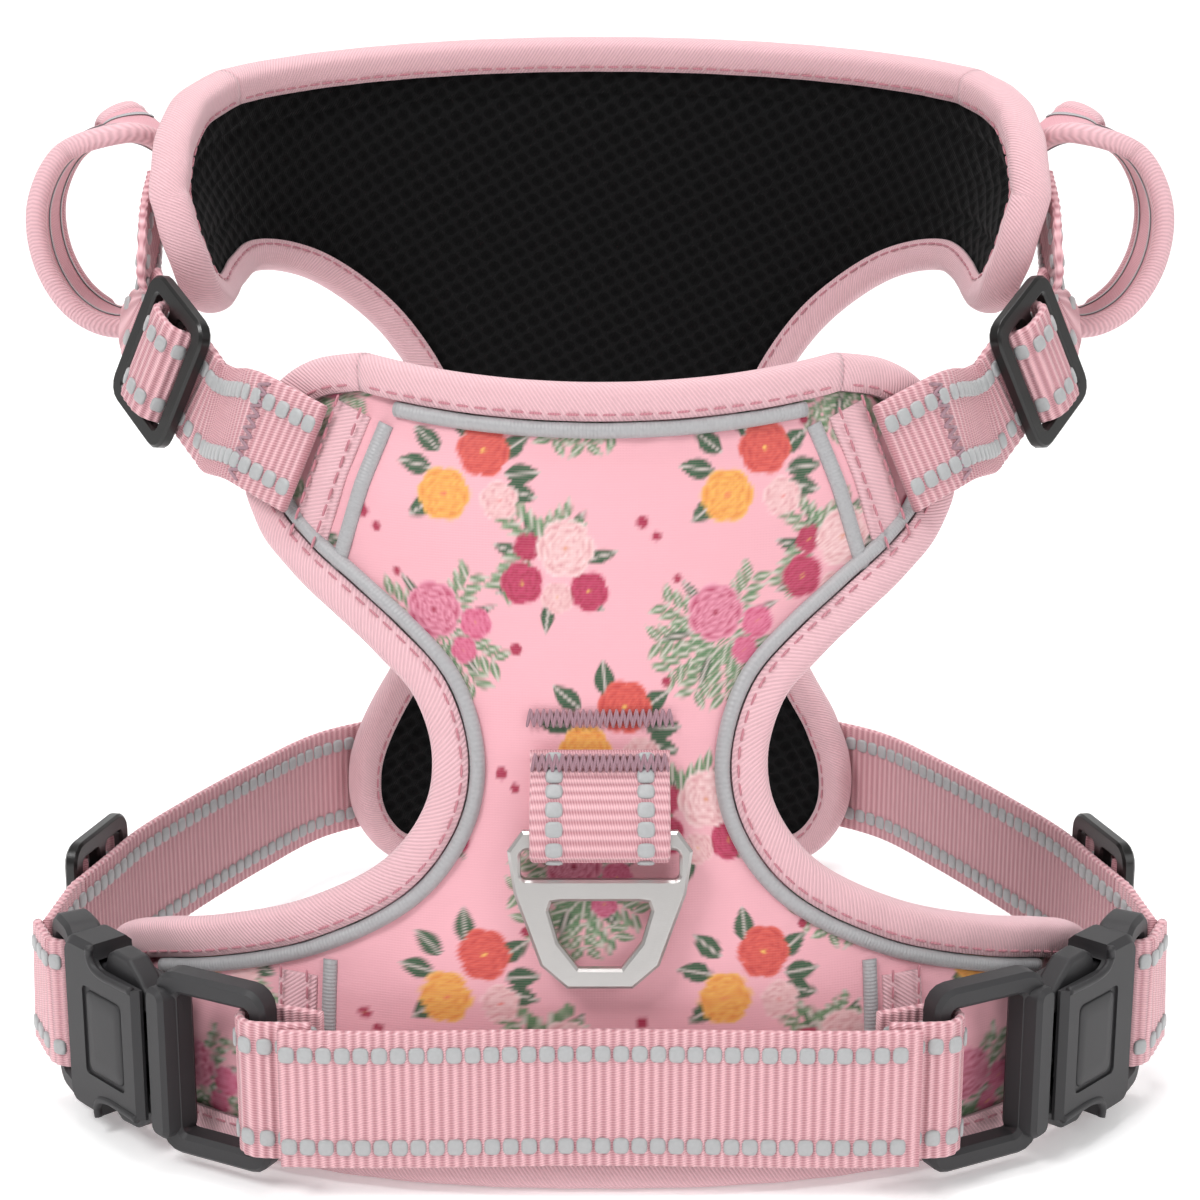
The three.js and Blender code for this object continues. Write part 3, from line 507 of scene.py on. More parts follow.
def print_material():
    """Satin print: the flowers come from the cover's own colours, the weave from nodes."""
    shader = Shader("printed satin", roughness=0.55, sheen=0.25, specular=0.35)
    painted = shader.node("ShaderNodeVertexColor", layer_name="Print").outputs["Color"]
    mottle = shader.noise(0.35, 3)
    yarn = shader.wave(0.42, 90)
    shader.colour(shader.mix(shader.math("MULTIPLY", yarn, 0.10), painted, darker(PINK, 0.72)))
    shader.roughness(mottle, 0.48, 0.62)
    shader.bump(yarn, 0.00003, 0.5)
    shader.bump(shader.wave(0.5), 0.00002, 0.4)
    shader.bump(shader.noise(0.08, 3), 0.0006, 0.5)
    return shader.material


def twill_material(name, colour):
    """Binding tape with fine diagonal ribs."""
    shader = Shader(name, roughness=0.75, sheen=0.3, specular=0.25)
    ribs = shader.wave(0.58, 35)
    shade = shader.math("ADD", shader.math("MULTIPLY", ribs, 0.75),
                        shader.math("MULTIPLY", shader.noise(0.9, 2), 0.25))
    shader.colour(shader.mix(shade, darker(colour, 0.76), colour))
    shader.roughness(ribs, 0.85, 0.62)
    shader.bump(ribs, 0.00012, 0.9)
    shader.bump(shader.noise(0.12, 2), 0.0004, 0.4)
    return shader.material


def webbing_material():
    """Polyester webbing: raised ribs across its width, with painted highlights on their tops and painted
    shade between them.
    """
    shader = Shader("webbing", roughness=0.6, sheen=0.3, specular=0.3)
    ribs = shader.wave(RIB_PITCH)
    yarn = shader.wave(0.45, 78)
    shade = shader.math("ADD", shader.math("MULTIPLY", ribs, 0.6), shader.math("MULTIPLY", yarn, 0.4))
    # The rib tops are painted pale as highlights, and the gaps between ribs are painted darker as shade.
    shader.colour(shader.mix(shade, darker(WEBBING_PINK, 0.75), srgb(240, 192, 198)))
    shader.roughness(shader.noise(0.8, 2), 0.5, 0.7)
    shader.bump(yarn, 0.00010, 0.8)
    shader.bump(ribs, 0.00025, 0.8)
    return shader.material


def mesh_material():
    """Black air mesh: knitted ribs between its holes, which hold painted shade."""
    shader = Shader("air mesh", roughness=0.9, sheen=0.05, specular=0.12)
    cells = shader.node("ShaderNodeTexVoronoi", Scale=0.31, Randomness=0.0)
    shader.join(shader.scaled((1.0, 1.15, 1), 45), cells.inputs["Vector"])
    hole = shader.math("GREATER_THAN", cells.outputs["Distance"], 0.40)
    # The holes' middles are painted near black as shade inside the holes; the knitted ribs keep the mesh's
    # own dark grey.
    shader.colour(shader.mix(cells.outputs["Distance"], darker(HOLE_SHADE_BLACK, 0.2), srgb(19, 19, 20)))
    shader.roughness(hole, 0.95, 0.75)
    shader.bump(cells.outputs["Distance"], 0.0009, 1.0)
    shader.bump(shader.wave(0.5, 30), 0.00008, 0.6)
    return shader.material


def reflective_material(name, colour, pitch=0.6):
    """Silver-grey reflective tape or yarn."""
    shader = Shader(name, roughness=0.42, specular=0.6, sheen=0.15)
    grain = shader.noise(1400, 2, flat=False)
    ribs = shader.wave(pitch)
    shader.colour(shader.mix(grain, darker(colour, 0.82), colour))
    shader.roughness(grain, 0.36, 0.55)
    shader.bump(ribs, 0.00008, 0.6)
    return shader.material


def thread_material(name, colour):
    shader = Shader(name, roughness=0.5, sheen=0.3)
    twist = shader.wave(0.00035, 40, flat=False)
    shader.colour(shader.mix(twist, darker(colour, 0.75), colour))
    shader.bump(twist, 0.00006, 0.7)
    return shader.material


def plastic_material(name, colour, low, high, coat=0.0):
    """Moulded acetal: a fine spark-eroded grain and faint wear."""
    shader = Shader(name, roughness=low, coat=coat, specular=0.5)
    grain = shader.noise(5200, 3, flat=False)
    cloud = shader.noise(60, 3, flat=False)
    shader.colour(shader.mix(cloud, darker(colour, 0.86), colour))
    shader.roughness(shader.math("ADD", shader.math("MULTIPLY", grain, 0.5),
                                 shader.math("MULTIPLY", cloud, 0.5)), low, high)
    shader.bump(grain, 0.00003, 0.5)
    return shader.material


def metal_material():
    """Satin aluminium with fine brushing and a little wear."""
    shader = Shader("satin aluminium", roughness=0.34, metallic=1.0)
    cloud = shader.noise(90, 3, flat=False)
    brush = shader.noise(900, 2, flat=False, factors=(1, 1, 7))
    shader.colour(shader.mix(cloud, darker(ALUMINIUM, 0.86), ALUMINIUM))
    shader.roughness(brush, 0.26, 0.42)
    shader.bump(brush, 0.00003, 0.5)
    return shader.material


def floor_material():
    shader = Shader("floor", roughness=0.7, specular=0.2)
    shader.surface.inputs["Emission Color"].default_value = (1, 1, 1, 1)
    shader.surface.inputs["Emission Strength"].default_value = 0.22
    shader.colour(shader.mix(shader.noise(3, 2, flat=False), srgb(250, 250, 250), srgb(252, 252, 252)))
    return shader.material


# ------------------------------------------------------------------ the floral print, painted on a cover


class Print:
    """A half-drop repeat of flower sprays, as colours for flat points in millimetres."""

    SCALE = 1.16  # of the sprays, whose sizes below are in units of this many millimetres
    WIDTH = 23.5 / SCALE  # from one column to the next
    HEIGHT = 83 / SCALE  # from one repeat to the next up a column

    def __init__(self, flat):
        self.flat = flat = flat / self.SCALE
        self.colour = np.ones(flat.shape[:-1] + (3,)) * PINK[:3]
        cloud = 0.5 + 0.5 * np.sin(flat[..., 0] / 11 + 1.3 * np.sin(flat[..., 1] / 17))
        self.blend(cloud * 0.5, np.array(darker(PINK, 0.93)[:3]))

    def blend(self, amount, colour):
        """Lays colour over what is there, by an amount for each point."""
        amount = np.clip(amount, 0, 1)[..., None]
        self.colour = self.colour * (1 - amount) + np.asarray(colour)[..., :3] * amount

    def local(self, centre, turn=0.0):
        """Points from the nearest repeat of a motif, turned by degrees."""
        across = self.flat[..., 0] - centre[0]
        column = np.round(across / self.WIDTH)
        across = across - column * self.WIDTH
        up = self.flat[..., 1] - centre[1] - (column % 2) * self.HEIGHT / 2
        up = up - np.round(up / self.HEIGHT) * self.HEIGHT
        angle = math.radians(turn)
        return (across * math.cos(angle) + up * math.sin(angle),
                up * math.cos(angle) - across * math.sin(angle))

    def leaf(self, centre, length, width, turn, colour):
        x, y = self.local(centre, turn)
        share = np.clip(x / length, 0, 1)
        half = width / 2 * np.sin(math.pi * share**0.8)
        inside = smoothstep(half - np.abs(y), 0, 0.35)
        veins = 0.5 + 0.5 * np.cos((np.abs(y) * 1.3 - x) * 2 * math.pi / 2.1)
        tone = 0.72 + 0.3 * share + 0.16 * veins
        self.blend(inside, np.asarray(colour[:3]) * tone[..., None])
        self.blend(inside * smoothstep(0.32 - np.abs(y), 0, 0.3) * 0.55, BLUSH[:3])

    def bloom(self, centre, radius, petals, turn, deep, pale, heart):
        """A rose or peony seen from the front: whorls of scalloped petals round a heart."""
        x, y = self.local(centre, turn)
        reach = np.hypot(x, y)
        angle = np.arctan2(y, x)
        for whorl, size in enumerate((1.0, 0.8, 0.61, 0.43, 0.27)):
            swing = angle * petals / 2 + whorl * 1.9 + turn
            edge = radius * size * (0.87 + 0.13 * np.abs(np.cos(swing)) ** 0.6)
            inside = smoothstep(edge - reach, 0, 0.4)
            depth = np.clip((edge - reach) / (radius * 0.24), 0, 1)
            fold = 0.5 + 0.5 * np.cos(2 * swing)
            lit = np.clip(1 - depth * 0.95, 0, 1)[..., None] * (0.7 + 0.3 * fold[..., None])
            petal = np.asarray(deep[:3]) * (1 - lit) + np.asarray(pale[:3]) * lit
            self.blend(inside, petal)
        self.blend(smoothstep(radius * 0.13 - reach, 0, 0.5), heart[:3])

    def sprig(self, centre, length, turn, colour, count=5):
        """A thin stem with small paired leaves."""
        x, y = self.local(centre, turn)
        inside = (x > 0) & (x < length)
        self.blend(inside * smoothstep(0.3 - np.abs(y - 0.8 * np.sin(x / 3)), 0, 0.25), colour)
        for step in range(1, count + 1):
            for side in (-1, 1):
                along = length * step / count
                place = (centre[0] + along * math.cos(math.radians(turn)),
                         centre[1] + along * math.sin(math.radians(turn)))
                self.leaf(place, 3.6, 1.7, turn + side * 48, colour)


def leaves_round(pattern, centre, distance, turns, length, width, colour):
    for turn in turns:
        angle = math.radians(turn)
        place = (centre[0] + distance * math.cos(angle), centre[1] + distance * math.sin(angle))
        pattern.leaf(place, length, width, turn, colour)


def rose_spray(pattern, x, y):
    """A blush rose over crimson ones."""
    leaves_round(pattern, (x, y), 4.5, (15, 62, 118, 160, 205, 262, 320), 5.2, 2.3, LEAF)
    for turn, shift in ((35, -3.615), (140, -0.791), (235, -3.257)):
        pattern.sprig((x + shift, y + 3), 6.5, turn, SPRAY, 4)
    pattern.bloom((x - 4.6, y - 2.2), 3.3, 5, 15, CRIMSON, ROSE, YELLOW)
    pattern.bloom((x + 4.9, y - 3.2), 3.1, 5, 50, CRIMSON, ROSE, YELLOW)
    pattern.bloom((x - 3.8, y + 2.9), 2.2, 5, 50, CRIMSON, ROSE, YELLOW)
    pattern.bloom((x + 0.4, y - 4.2), 2.5, 5, 80, DUSTY, BLUSH, YELLOW)
    pattern.bloom((x + 1.6, y + 2.8), 4.4, 6, 0, DUSTY, BLUSH, SAND)


def peony_spray(pattern, x, y):
    """A pink peony over long grassy sprays."""
    for turn in (150, 185, 215, 245, 275, 305, 335, 60):
        pattern.sprig((x, y - 1), 8.5, turn, SPRAY, 5)
    leaves_round(pattern, (x, y), 4, (20, 130, 190, 250, 310), 5.5, 1.6, LEAF)
    pattern.bloom((x + 5.4, y + 0.4), 2.6, 5, 40, BUD_DEEP, BUD_PALE, YELLOW)
    pattern.bloom((x + 3.6, y - 3.4), 2.2, 5, 70, BUD_DEEP, BUD_PALE, YELLOW)
    pattern.bloom((x - 0.8, y + 2), 4.4, 7, 30, PEONY_DEEP, PEONY_PALE, CRIMSON)


def coral_spray(pattern, x, y):
    """A coral rose and a yellow one between broad dark leaves."""
    leaves_round(pattern, (x, y), 5.2, (5, 35, 95, 140, 170, 215, 345), 5.6, 3.3, LEAF)
    pattern.bloom((x + 4.6, y - 3.2), 3, 5, 25, DUSTY, BLUSH, CORAL)
    pattern.bloom((x - 3.4, y - 2.6), 4.1, 6, 10, AMBER, YELLOW, CORAL)
    pattern.bloom((x + 2.2, y + 3.8), 4.1, 6, 60, BRICK, CORAL, YELLOW)


def floral(flat):
    """The cover's colours: three sprays in each repeat, and loose buds between them."""
    pattern = Print(flat)
    rose_spray(pattern, -6.5, 90.5)
    peony_spray(pattern, 17.3, 82)
    coral_spray(pattern, 1.3, 67.2)
    for x, y, radius in ((6, 97, 1.1), (8, 95, 0.9), (-12, 79, 1.1), (9.5, 74.5, 0.9), (11, 89, 0.8)):
        pattern.bloom((x, y), radius, 5, 40 * x, CRIMSON, ROSE, YELLOW)
    return pattern.colour


# ------------------------------------------------------------------ panels


def cover_height(near):
    """How high the stuffed cover stands, by the distance from its panel's edge."""
    rise = smoothstep(near, PUFF_START, PUFF_END) ** 0.7
    return COVER_EDGE + (COVER_TOP + PUFF - COVER_EDGE) * rise


def slab_piece(name, panel, flat, heights, body, material, node):
    """A sheet of fabric over a panel between two heights, in place of its CAD node."""
    u, v = flat[..., 0], flat[..., 1]
    points = np.concatenate([panel.surface(u, v, height).reshape(-1, 3) for height in heights])
    flats = np.concatenate([flat.reshape(-1, 2)] * 2)
    piece = make_piece(name, points, slab_faces(*u.shape), body, material, flats)
    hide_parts(node)
    return piece


def cover(panel, body, material):
    """The printed cover, puffed between its bindings and puckered beside them."""
    flat = panel.grid(FABRIC_INSET)
    near = panel.distance_to_edge(flat)
    u, v = flat[..., 0], flat[..., 1]
    ripple = np.sin(u * 0.9 + 1.7 * np.sin(v * 0.23)) + np.sin(v * 0.8 - u * 0.5 + 2 * np.sin(u * 0.31))
    swell = np.sin(u * 0.11 + 1) * np.sin(v * 0.13)
    height = cover_height(near) + PUCKER * ripple * np.exp(-np.maximum(near - 6, 0) / 6)
    height = height + SWELL * swell * smoothstep(near, 12, 30)
    piece = slab_piece(f"{panel.name}_cover_cloth", panel, flat, (height, COVER_UNDERSIDE), body, material,
                       f"{panel.name}_cover")
    tint = piece.data.color_attributes.new(name="Print", type="FLOAT_COLOR", domain="POINT")
    colours = floral(flat).reshape(-1, 3)
    colours = np.concatenate([np.hstack([colours, np.ones((len(colours), 1))])] * 2)
    tint.data.foreach_set("color", colours.ravel())


def lining(panel, body, material):
    """Air mesh behind the cover, with a quilted stitch line beside the binding."""
    flat = panel.grid(FABRIC_INSET)[::2, ::2]
    near = panel.distance_to_edge(flat)
    quilt = np.exp(-(((near - 12) / 0.9) ** 2))
    low = LINING_BOTTOM - 0.5 * smoothstep(near, 5, 20) + 0.8 * quilt
    slab_piece(f"{panel.name}_lining_mesh", panel, flat, (low, LINING_TOP), body, material,
               f"{panel.name}_lining")


def binding_section():
    """Inset and height round the folded tape, outside first and back along its inside."""
    angle = np.radians(np.linspace(90, -90, 13))
    roll_inset = 2.5 * (1 - np.cos(angle) ** 0.8)
    roll = np.stack([roll_inset, BINDING_MIDDLE + BINDING_HALF * np.sin(angle)], axis=-1)
    front = [[BINDING_WIDTH, 2.05], [5.4, 2.65], [4, 2.95]]
    rear = [[4.4, -4.4], [BINDING_WIDTH, -3.7]]
    inside = [[BINDING_WIDTH, -2.9], [4, -3.2], [1.5, -2.6], [1.2, 0.6], [4, 1.7], [BINDING_WIDTH, 1.2]]
    return np.vstack([front, roll, rear, inside])


def edge_piece(name, panel, start, end, section, body, material, node, wobble=0.1):
    """Trim round part of a panel's edge; its section is given as inset and height."""
    stations = np.arange(start, end + 1) % len(panel.outline)
    reach = np.arange(len(stations)) * OUTLINE_PITCH
    lift = wobble * np.sin(reach / 1.9 + np.sin(reach / 7))
    flat = panel.outline[stations][:, None] + panel.inward[stations][:, None] * section[None, :, :1]
    rings = panel.surface(flat[..., 0], flat[..., 1], section[:, 1] + lift[:, None])
    piece = tube_piece(name, rings, reach, run_length(section), body, material)
    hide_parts(node)


def binding(panel, part, start, end, body, materials):
    """Folded tape round part of a panel's edge, with a row of stitches on each face."""
    name = f"{panel.name}_binding_{part}"
    edge_piece(f"{name}_tape", panel, start, end, binding_section(), body, materials["twill"],
               name)
    stations = np.arange(start, end + 1) % len(panel.outline)
    line = panel.outline[stations] + panel.inward[stations] * STITCH_INSET
    for label, height in (("stitches", 2.65), ("back_stitches", -4.15)):
        stitch_row(f"{name}_{label}", panel.surface, line, height, 0.42, 1, body, materials["stitch"])


def piping_section():
    """Inset and height round a soft cord beside the binding."""
    angle = np.radians(np.linspace(-30, 210, 11))
    middle = BINDING_WIDTH + 1.45
    return np.stack([middle + 1.3 * np.cos(angle), 1.35 + 1.35 * np.sin(angle)], axis=-1)


# ------------------------------------------------------------------ webbing


class Strap:
    """Webbing along a smooth line through stations of a place and a direction across."""

    def __init__(self, stations, width, thickness=WEBBING_THICK, pitch=0.4, side=1):
        rails = [[*place, *(np.asarray(place) + 0.5 * np.asarray(across))] for place, across in stations]
        rails = smooth_curve(np.array(rails), pitch=pitch * 1.45)
        mirror = (side, 1, 1)
        self.points = rails[:, :3] * mirror
        self.along, self.across, self.off = frames_along(self.points, (rails[:, 3:] - rails[:, :3]) * mirror)
        self.width = width
        self.thickness = thickness
        self.reach = run_length(self.points)

    def read(self, vectors, reach):
        """Vectors that go with the strap's points, at distances along it."""
        return np.stack([np.interp(reach, self.reach, column) for column in vectors.T], axis=-1)

    def place(self, reach, across, off):
        """Points of the strap at distances along, across and off its middle."""
        middle = self.read(self.points, reach)
        return middle + self.read(self.across, reach) * across + self.read(self.off, reach) * off

    def frames(self, reach):
        return unit(self.read(self.along, reach)), unit(self.read(self.across, reach))

    def rings(self, section, shift=0.0, rib=1.0):
        """Rings of a section, given as across and off, along the strap."""
        return (self.points[:, None] + self.across[:, None] * (section[None, :, :1] + shift)
                + self.off[:, None] * section[None, :, 1:] * rib)


def strap_section(width, thickness):
    """Across and off round a strap with soft edges; its faces are split into many across its width."""
    half = thickness / 2
    edge = np.linspace(-1, 1, 15) * (width / 2 - half * 0.8)
    turn = np.radians(np.linspace(60, -60, 4))
    right = np.stack([width / 2 - half * 0.8 + half * 0.8 * np.cos(turn), half * np.sin(turn)], axis=-1)
    top = np.stack([edge, np.full(15, half)], axis=-1)
    return np.vstack([top, right, -top, -right])


def strap_piece(name, strap, body, material, node, ribs=0.13):
    """A strap with woven ribs across it, closed at its heat-cut ends."""
    section = strap_section(strap.width, strap.thickness)
    rib = 1 + ribs * 2 / strap.thickness * np.sin(strap.reach * 2 * math.pi / RIB_PITCH)
    rings = strap.rings(section, rib=rib[:, None, None])
    piece = tube_piece(name, rings, strap.reach, section[:, 0], body, material)
    if node:
        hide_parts(node)
    return piece


def strip_piece(name, strap, shift, width, thickness, body, material):
    """A narrower strip along a strap, shifted across from its middle."""
    section = strap_section(width, thickness)
    tube_piece(name, strap.rings(section, shift), strap.reach, section[:, 0], body, material)


def beads(name, strap, body, material, sides=(1, -1)):
    """The two reflective yarns of a strap, which show as rows of beads on its faces."""
    reach = np.arange(BEAD_START, strap.reach[-1] - BEAD_START, BEAD_PITCH)
    along, across = strap.frames(reach)
    row = strap.width / 2 - BEAD_INSET
    face = strap.thickness / 2 + 0.1
    places = [strap.place(reach, s * row, f * face) for s in (-1, 1) for f in sides]
    repeat = (len(places), 1)
    return studs(name, np.vstack(places), np.tile(along, repeat), np.tile(across, repeat),
                 BEAD_SIZE, body, material)


def webbing_set(name, strap, body, materials, sides=(1, -1)):
    """A strap in place of the CAD node of its name, with beads on the faces of the given sides."""
    strap_piece(f"{name}_webbing", strap, body, materials["webbing"], name)
    beads(f"{name}_beads", strap, body, materials["beads"], sides)


def zigzag(name, surface, first, last, height, amplitude, body, material):
    """A bar tack: slanting threads side by side from one flat point to another."""
    start, end = np.array(first, float), np.array(last, float)
    run = end - start
    length = np.linalg.norm(run)
    sideways = np.array([-run[1], run[0]]) / length
    count = round(length / TACK_PITCH) * 2
    share = (np.arange(count) + 0.5) / count
    middle = start + run * share[:, None]
    slant = np.where(np.arange(count) % 2 == 0, 1, -1)[:, None]
    lean = run / length * TACK_PITCH * 0.28
    low = middle - sideways * amplitude - lean * slant
    high = middle + sideways * amplitude + lean * slant
    ends = [surface(p[:, 0], p[:, 1], height) for p in (low, high)]
    places = (ends[0] + ends[1]) / 2
    along = unit(ends[1] - ends[0])
    u, v = middle.T
    off = unit(surface(u, v, height + 1) - surface(u, v, height))
    size = (2 * amplitude + 0.5, 0.62, 0.55)
    return studs(name, places, along, np.cross(off, along), size, body, material)


# ------------------------------------------------------------------ moulded and metal parts


def refined(node, body, material, bevel=0.35, segments=3):
    """A CAD part's own shape with its edges rounded and its faces shaded smooth."""
    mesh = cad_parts[node].data.copy()
    piece = bpy.data.objects.new(f"{node}_moulded", mesh)
    bpy.context.scene.collection.objects.link(piece)
    shape = bmesh.new()
    shape.from_mesh(mesh)
    bmesh.ops.remove_doubles(shape, verts=shape.verts, dist=2e-6)
    bmesh.ops.dissolve_limit(shape, angle_limit=math.radians(1.5), verts=shape.verts, edges=shape.edges)
    shape.to_mesh(mesh)
    shape.free()
    mesh.materials.clear()
    mesh.materials.append(material)
    mesh.polygons.foreach_set("use_smooth", [True] * len(mesh.polygons))
    rounding = piece.modifiers.new("rounded edges", "BEVEL")
    rounding.width = bevel * MM
    rounding.segments = segments
    rounding.limit_method = "ANGLE"
    rounding.angle_limit = math.radians(24)
    rounding.harden_normals = True
    normals = piece.modifiers.new("even shading", "WEIGHTED_NORMAL")
    normals.keep_sharp = False
    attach(piece, body)
    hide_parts(node)


# ------------------------------------------------------------------ the harness


def clad(panel, edge_parts, materials):
    """A panel's cover, its lining, and the four lengths of binding that meet at its corners."""
    cover(panel, "harness", materials["print"])
    lining(panel, "harness", materials["mesh"])
    for part, start, end in zip(edge_parts, [0, *panel.corners], panel.corners):
        binding(panel, part, start, end, "harness", materials)


def build_chest(materials):
    """The chest plate: its fabric, piping along its edge, and tapes across its corners."""
    clad(chest, ("lower", "right", "neck", "left"), materials)
    lower_right, upper_right, upper_left, end = chest.corners
    for part, first, last in (
        ("right", lower_right + 46, upper_right - 26),
        ("left", upper_left + 26, end - 46),
        ("neck", upper_right + 6, upper_left - 6),
    ):
        node = f"chest_piping_{part}"
        edge_piece(f"{node}_cord", chest, first, last, piping_section(), "harness",
                   materials["piping"], node, wobble=0.08)
    for side_name, side in SIDES:
        for part, first, last, width, thickness in CORNER_STRIPS:
            flat_strip(f"{part}_{side_name}", first, last, width, thickness, side, materials)


def flat_strip(node, first, last, width, thickness, side, materials):
    """Tape or piping sewn straight across the chest plate's cover."""
    is_tape = "tape" in node
    start, run = np.array(first), np.array(last) - first
    length = np.linalg.norm(run)
    share = np.linspace(0, 1, 60)
    line = start + run * share[:, None]
    sideways = np.array([-run[1], run[0]]) / length
    bulge = np.radians(np.linspace(0, 180, 11))
    rise = np.sin(bulge) ** (0.5 if is_tape else 1) * thickness
    offset = -np.cos(bulge) * width / 2
    flat = (line[:, None] + sideways * offset[None, :, None]) * (side, 1)
    rings = chest_surface(flat[..., 0], flat[..., 1], cover_height(chest.distance_to_edge(flat)) + rise)
    material, slot = ("twill", "twill_tape") if is_tape else ("piping", "reflective_tape")
    piece = tube_piece(f"{node}_sewn", rings, share * length, offset, "harness", materials[material])
    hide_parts(node)
    if is_tape:
        for label, edge in (("in", -1), ("out", 1)):
            row = (line + sideways * edge * (width / 2 - 1.3)) * (side, 1)
            stitch_row(f"{node}_stitches_{label}", chest_surface, row, 3.0, 0.5, 0, "harness",
                       materials["stitch"])


def beside_chest(u, z, h):
    """The place at height z that is h off the chest plate's foot, u across it."""
    x, y, _ = chest_surface(float(u), 0.0, float(h))
    return np.array([x, y, z])


def build_band(materials):
    """The webbing across the foot of the chest plate."""
    reach = 50
    stations = []
    for u in np.linspace(-reach, reach, 13):
        stations.append((beside_chest(u, BAND_Z, 5.4 + 8 * (u / reach) ** 2), (0, 0, 1)))
    webbing_set("chest_band", Strap(stations, WEBBING), "harness", materials)


def ring_tab(surface, pivot_z, top_z):
    """Stations of the webbing that comes down in front of a ring's bar, round it and up behind."""
    radius, reach = 2.9, 3.1
    pivot_h = RING_PIVOT_HEIGHT
    places = [(top_z, 4.4), (top_z - 4, 4.5), (pivot_z + 5, pivot_h + 2.2), (pivot_z, pivot_h + reach)]
    for degrees in (30, 60, 90, 120, 150):
        angle = math.radians(degrees)
        places.append((pivot_z - radius * math.sin(angle), pivot_h + reach * math.cos(angle)))
    places += [(pivot_z, pivot_h - reach), (pivot_z + 4, 2.6), (top_z - 6, 2.5)]
    return [(surface(0.0, float(z), float(h)), (1, 0, 0)) for z, h in places]


def build_leash_points(materials):
    """The two leash rings on their tabs, and the bar tacks that hold the tabs."""
    for name, surface, outer_face, pivot_z, top_z in (
        ("front", chest_surface, 1, 61, 75.5),
        ("rear", back_surface, -1, 113, 131),
    ):
        strap = Strap(ring_tab(surface, pivot_z, top_z), WEBBING - 1.5, pitch=0.3)
        webbing_set(f"{name}_ring_tab", strap, "harness", materials, (outer_face,))
        ring = f"{name}_ring"
        refined(ring, ring, materials["metal"], bevel=0.45, segments=4)
    for node, surface, height, half_width, v in (
        ("bar_tack_upper", chest_surface, 2.9, 12, 80.5),
        ("bar_tack_lower", chest_surface, 5.75, 11, 73.5),
        ("rear_bar_tack", back_surface, 5.75, 11, 129),
    ):
        tack = zigzag(f"{node}_threads", surface, (-half_width, v), (half_width, v), height, 1.4,
                      "harness", materials["thread"])
        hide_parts(node)


def heading(degrees):
    """The level direction at degrees from +X, and the one to its right."""
    angle = math.radians(degrees)
    return (np.array([math.cos(angle), math.sin(angle), 0]),
            np.array([math.sin(angle), -math.cos(angle), 0]))


def at_buckle(along, out, bend=0.0):
    """A point in the right buckle's own axes."""
    direction, outward = heading(BUCKLE_ANGLE + bend)
    return beside_chest(*BUCKLE_PLACE) + direction * along + outward * out


def turn_round(centre, radius, angles):
    """Points round an upright bar, at angles in degrees from +X."""
    return [centre + radius * heading(degrees)[0] for degrees in angles]


def socket_loop_places():
    """The right socket's webbing: its outer end, then the turn round the far bar."""
    direction = heading(FAR_LOOP_ANGLE)[0]
    bar = at_buckle(SOCKET_START + SOCKET_LENGTH - SOCKET_BAR_INSET, 0) + direction * 9
    turn = turn_round(bar, 4.3, np.linspace(FAR_LOOP_ANGLE + 270, FAR_LOOP_ANGLE + 120, 9))
    return [turn[0] + direction * 8 + UPRIGHT, *turn]


def build_buckles(materials):
    """Both side buckles, with the webbing loops at their ends."""
    bar = at_buckle(FRAME_START - FRAME_LENGTH + FRAME_BAR_INSET, 0, FRAME_BEND)
    near_angle = BUCKLE_ANGLE + FRAME_BEND
    turn = turn_round(bar, 3.9, np.linspace(near_angle - 90, near_angle + 90, 9))
    frame_loop_places = [beside_chest(46, 20, 10), *turn, beside_chest(46, 20, 5.2)]
    for side_name, side in SIDES:
        socket = f"socket_{side_name}"
        for name, body, places in (
            (f"buckle_loop_{side_name}", "harness", frame_loop_places),
            (f"socket_loop_{side_name}", socket, socket_loop_places()),
        ):
            loop = Strap([(p, UPRIGHT) for p in places], WEBBING, side=side, pitch=0.3)
            webbing_set(name, loop, body, materials)
        refined(f"male_frame_{side_name}", "harness", materials["plastic"])
        refined(socket, socket, materials["plastic"], bevel=0.7)
        socket_lips(side_name, side, materials["plastic"])
        socket_panel(side_name, side, materials["plastic"])
        for part in ("upper", "lower"):
            prong = f"prong_{part}_{side_name}"
            refined(prong, prong, materials["plastic"], bevel=0.6, segments=4)


def tube(name, line, radius, body, material):
    """A round bead of plastic along a line of points."""
    _, side, off = frames_along(line, unit(np.array([0.31, 0.23, 0.92])))
    turn = np.radians(np.arange(0, 360, 30))
    rings = line[:, None] + radius * (side[:, None] * np.cos(turn)[None, :, None]
                                      + off[:, None] * np.sin(turn)[None, :, None])
    make_piece(name, rings.reshape(-1, 3), tube_faces(*rings.shape[:2]), body, material)


def socket_lips(side_name, side, material):
    """The lips round a socket's two finger notches."""
    route = [(3.4, 12.1), (8, 11.9), (13, 12.0), (15.6, 12.9), (16.6, 14.6), (16.3, 16.3)]
    for part, up in (("upper", 1), ("lower", -1)):
        line = np.array([at_buckle(x, SOCKET_FACE) + (0, 0, up * z) for x, z in route])
        line = smooth_curve(line, pitch=0.5) * (side, 1, 1)
        tube(f"socket_lip_{part}_{side_name}", line, 0.75, f"socket_{side_name}", material)


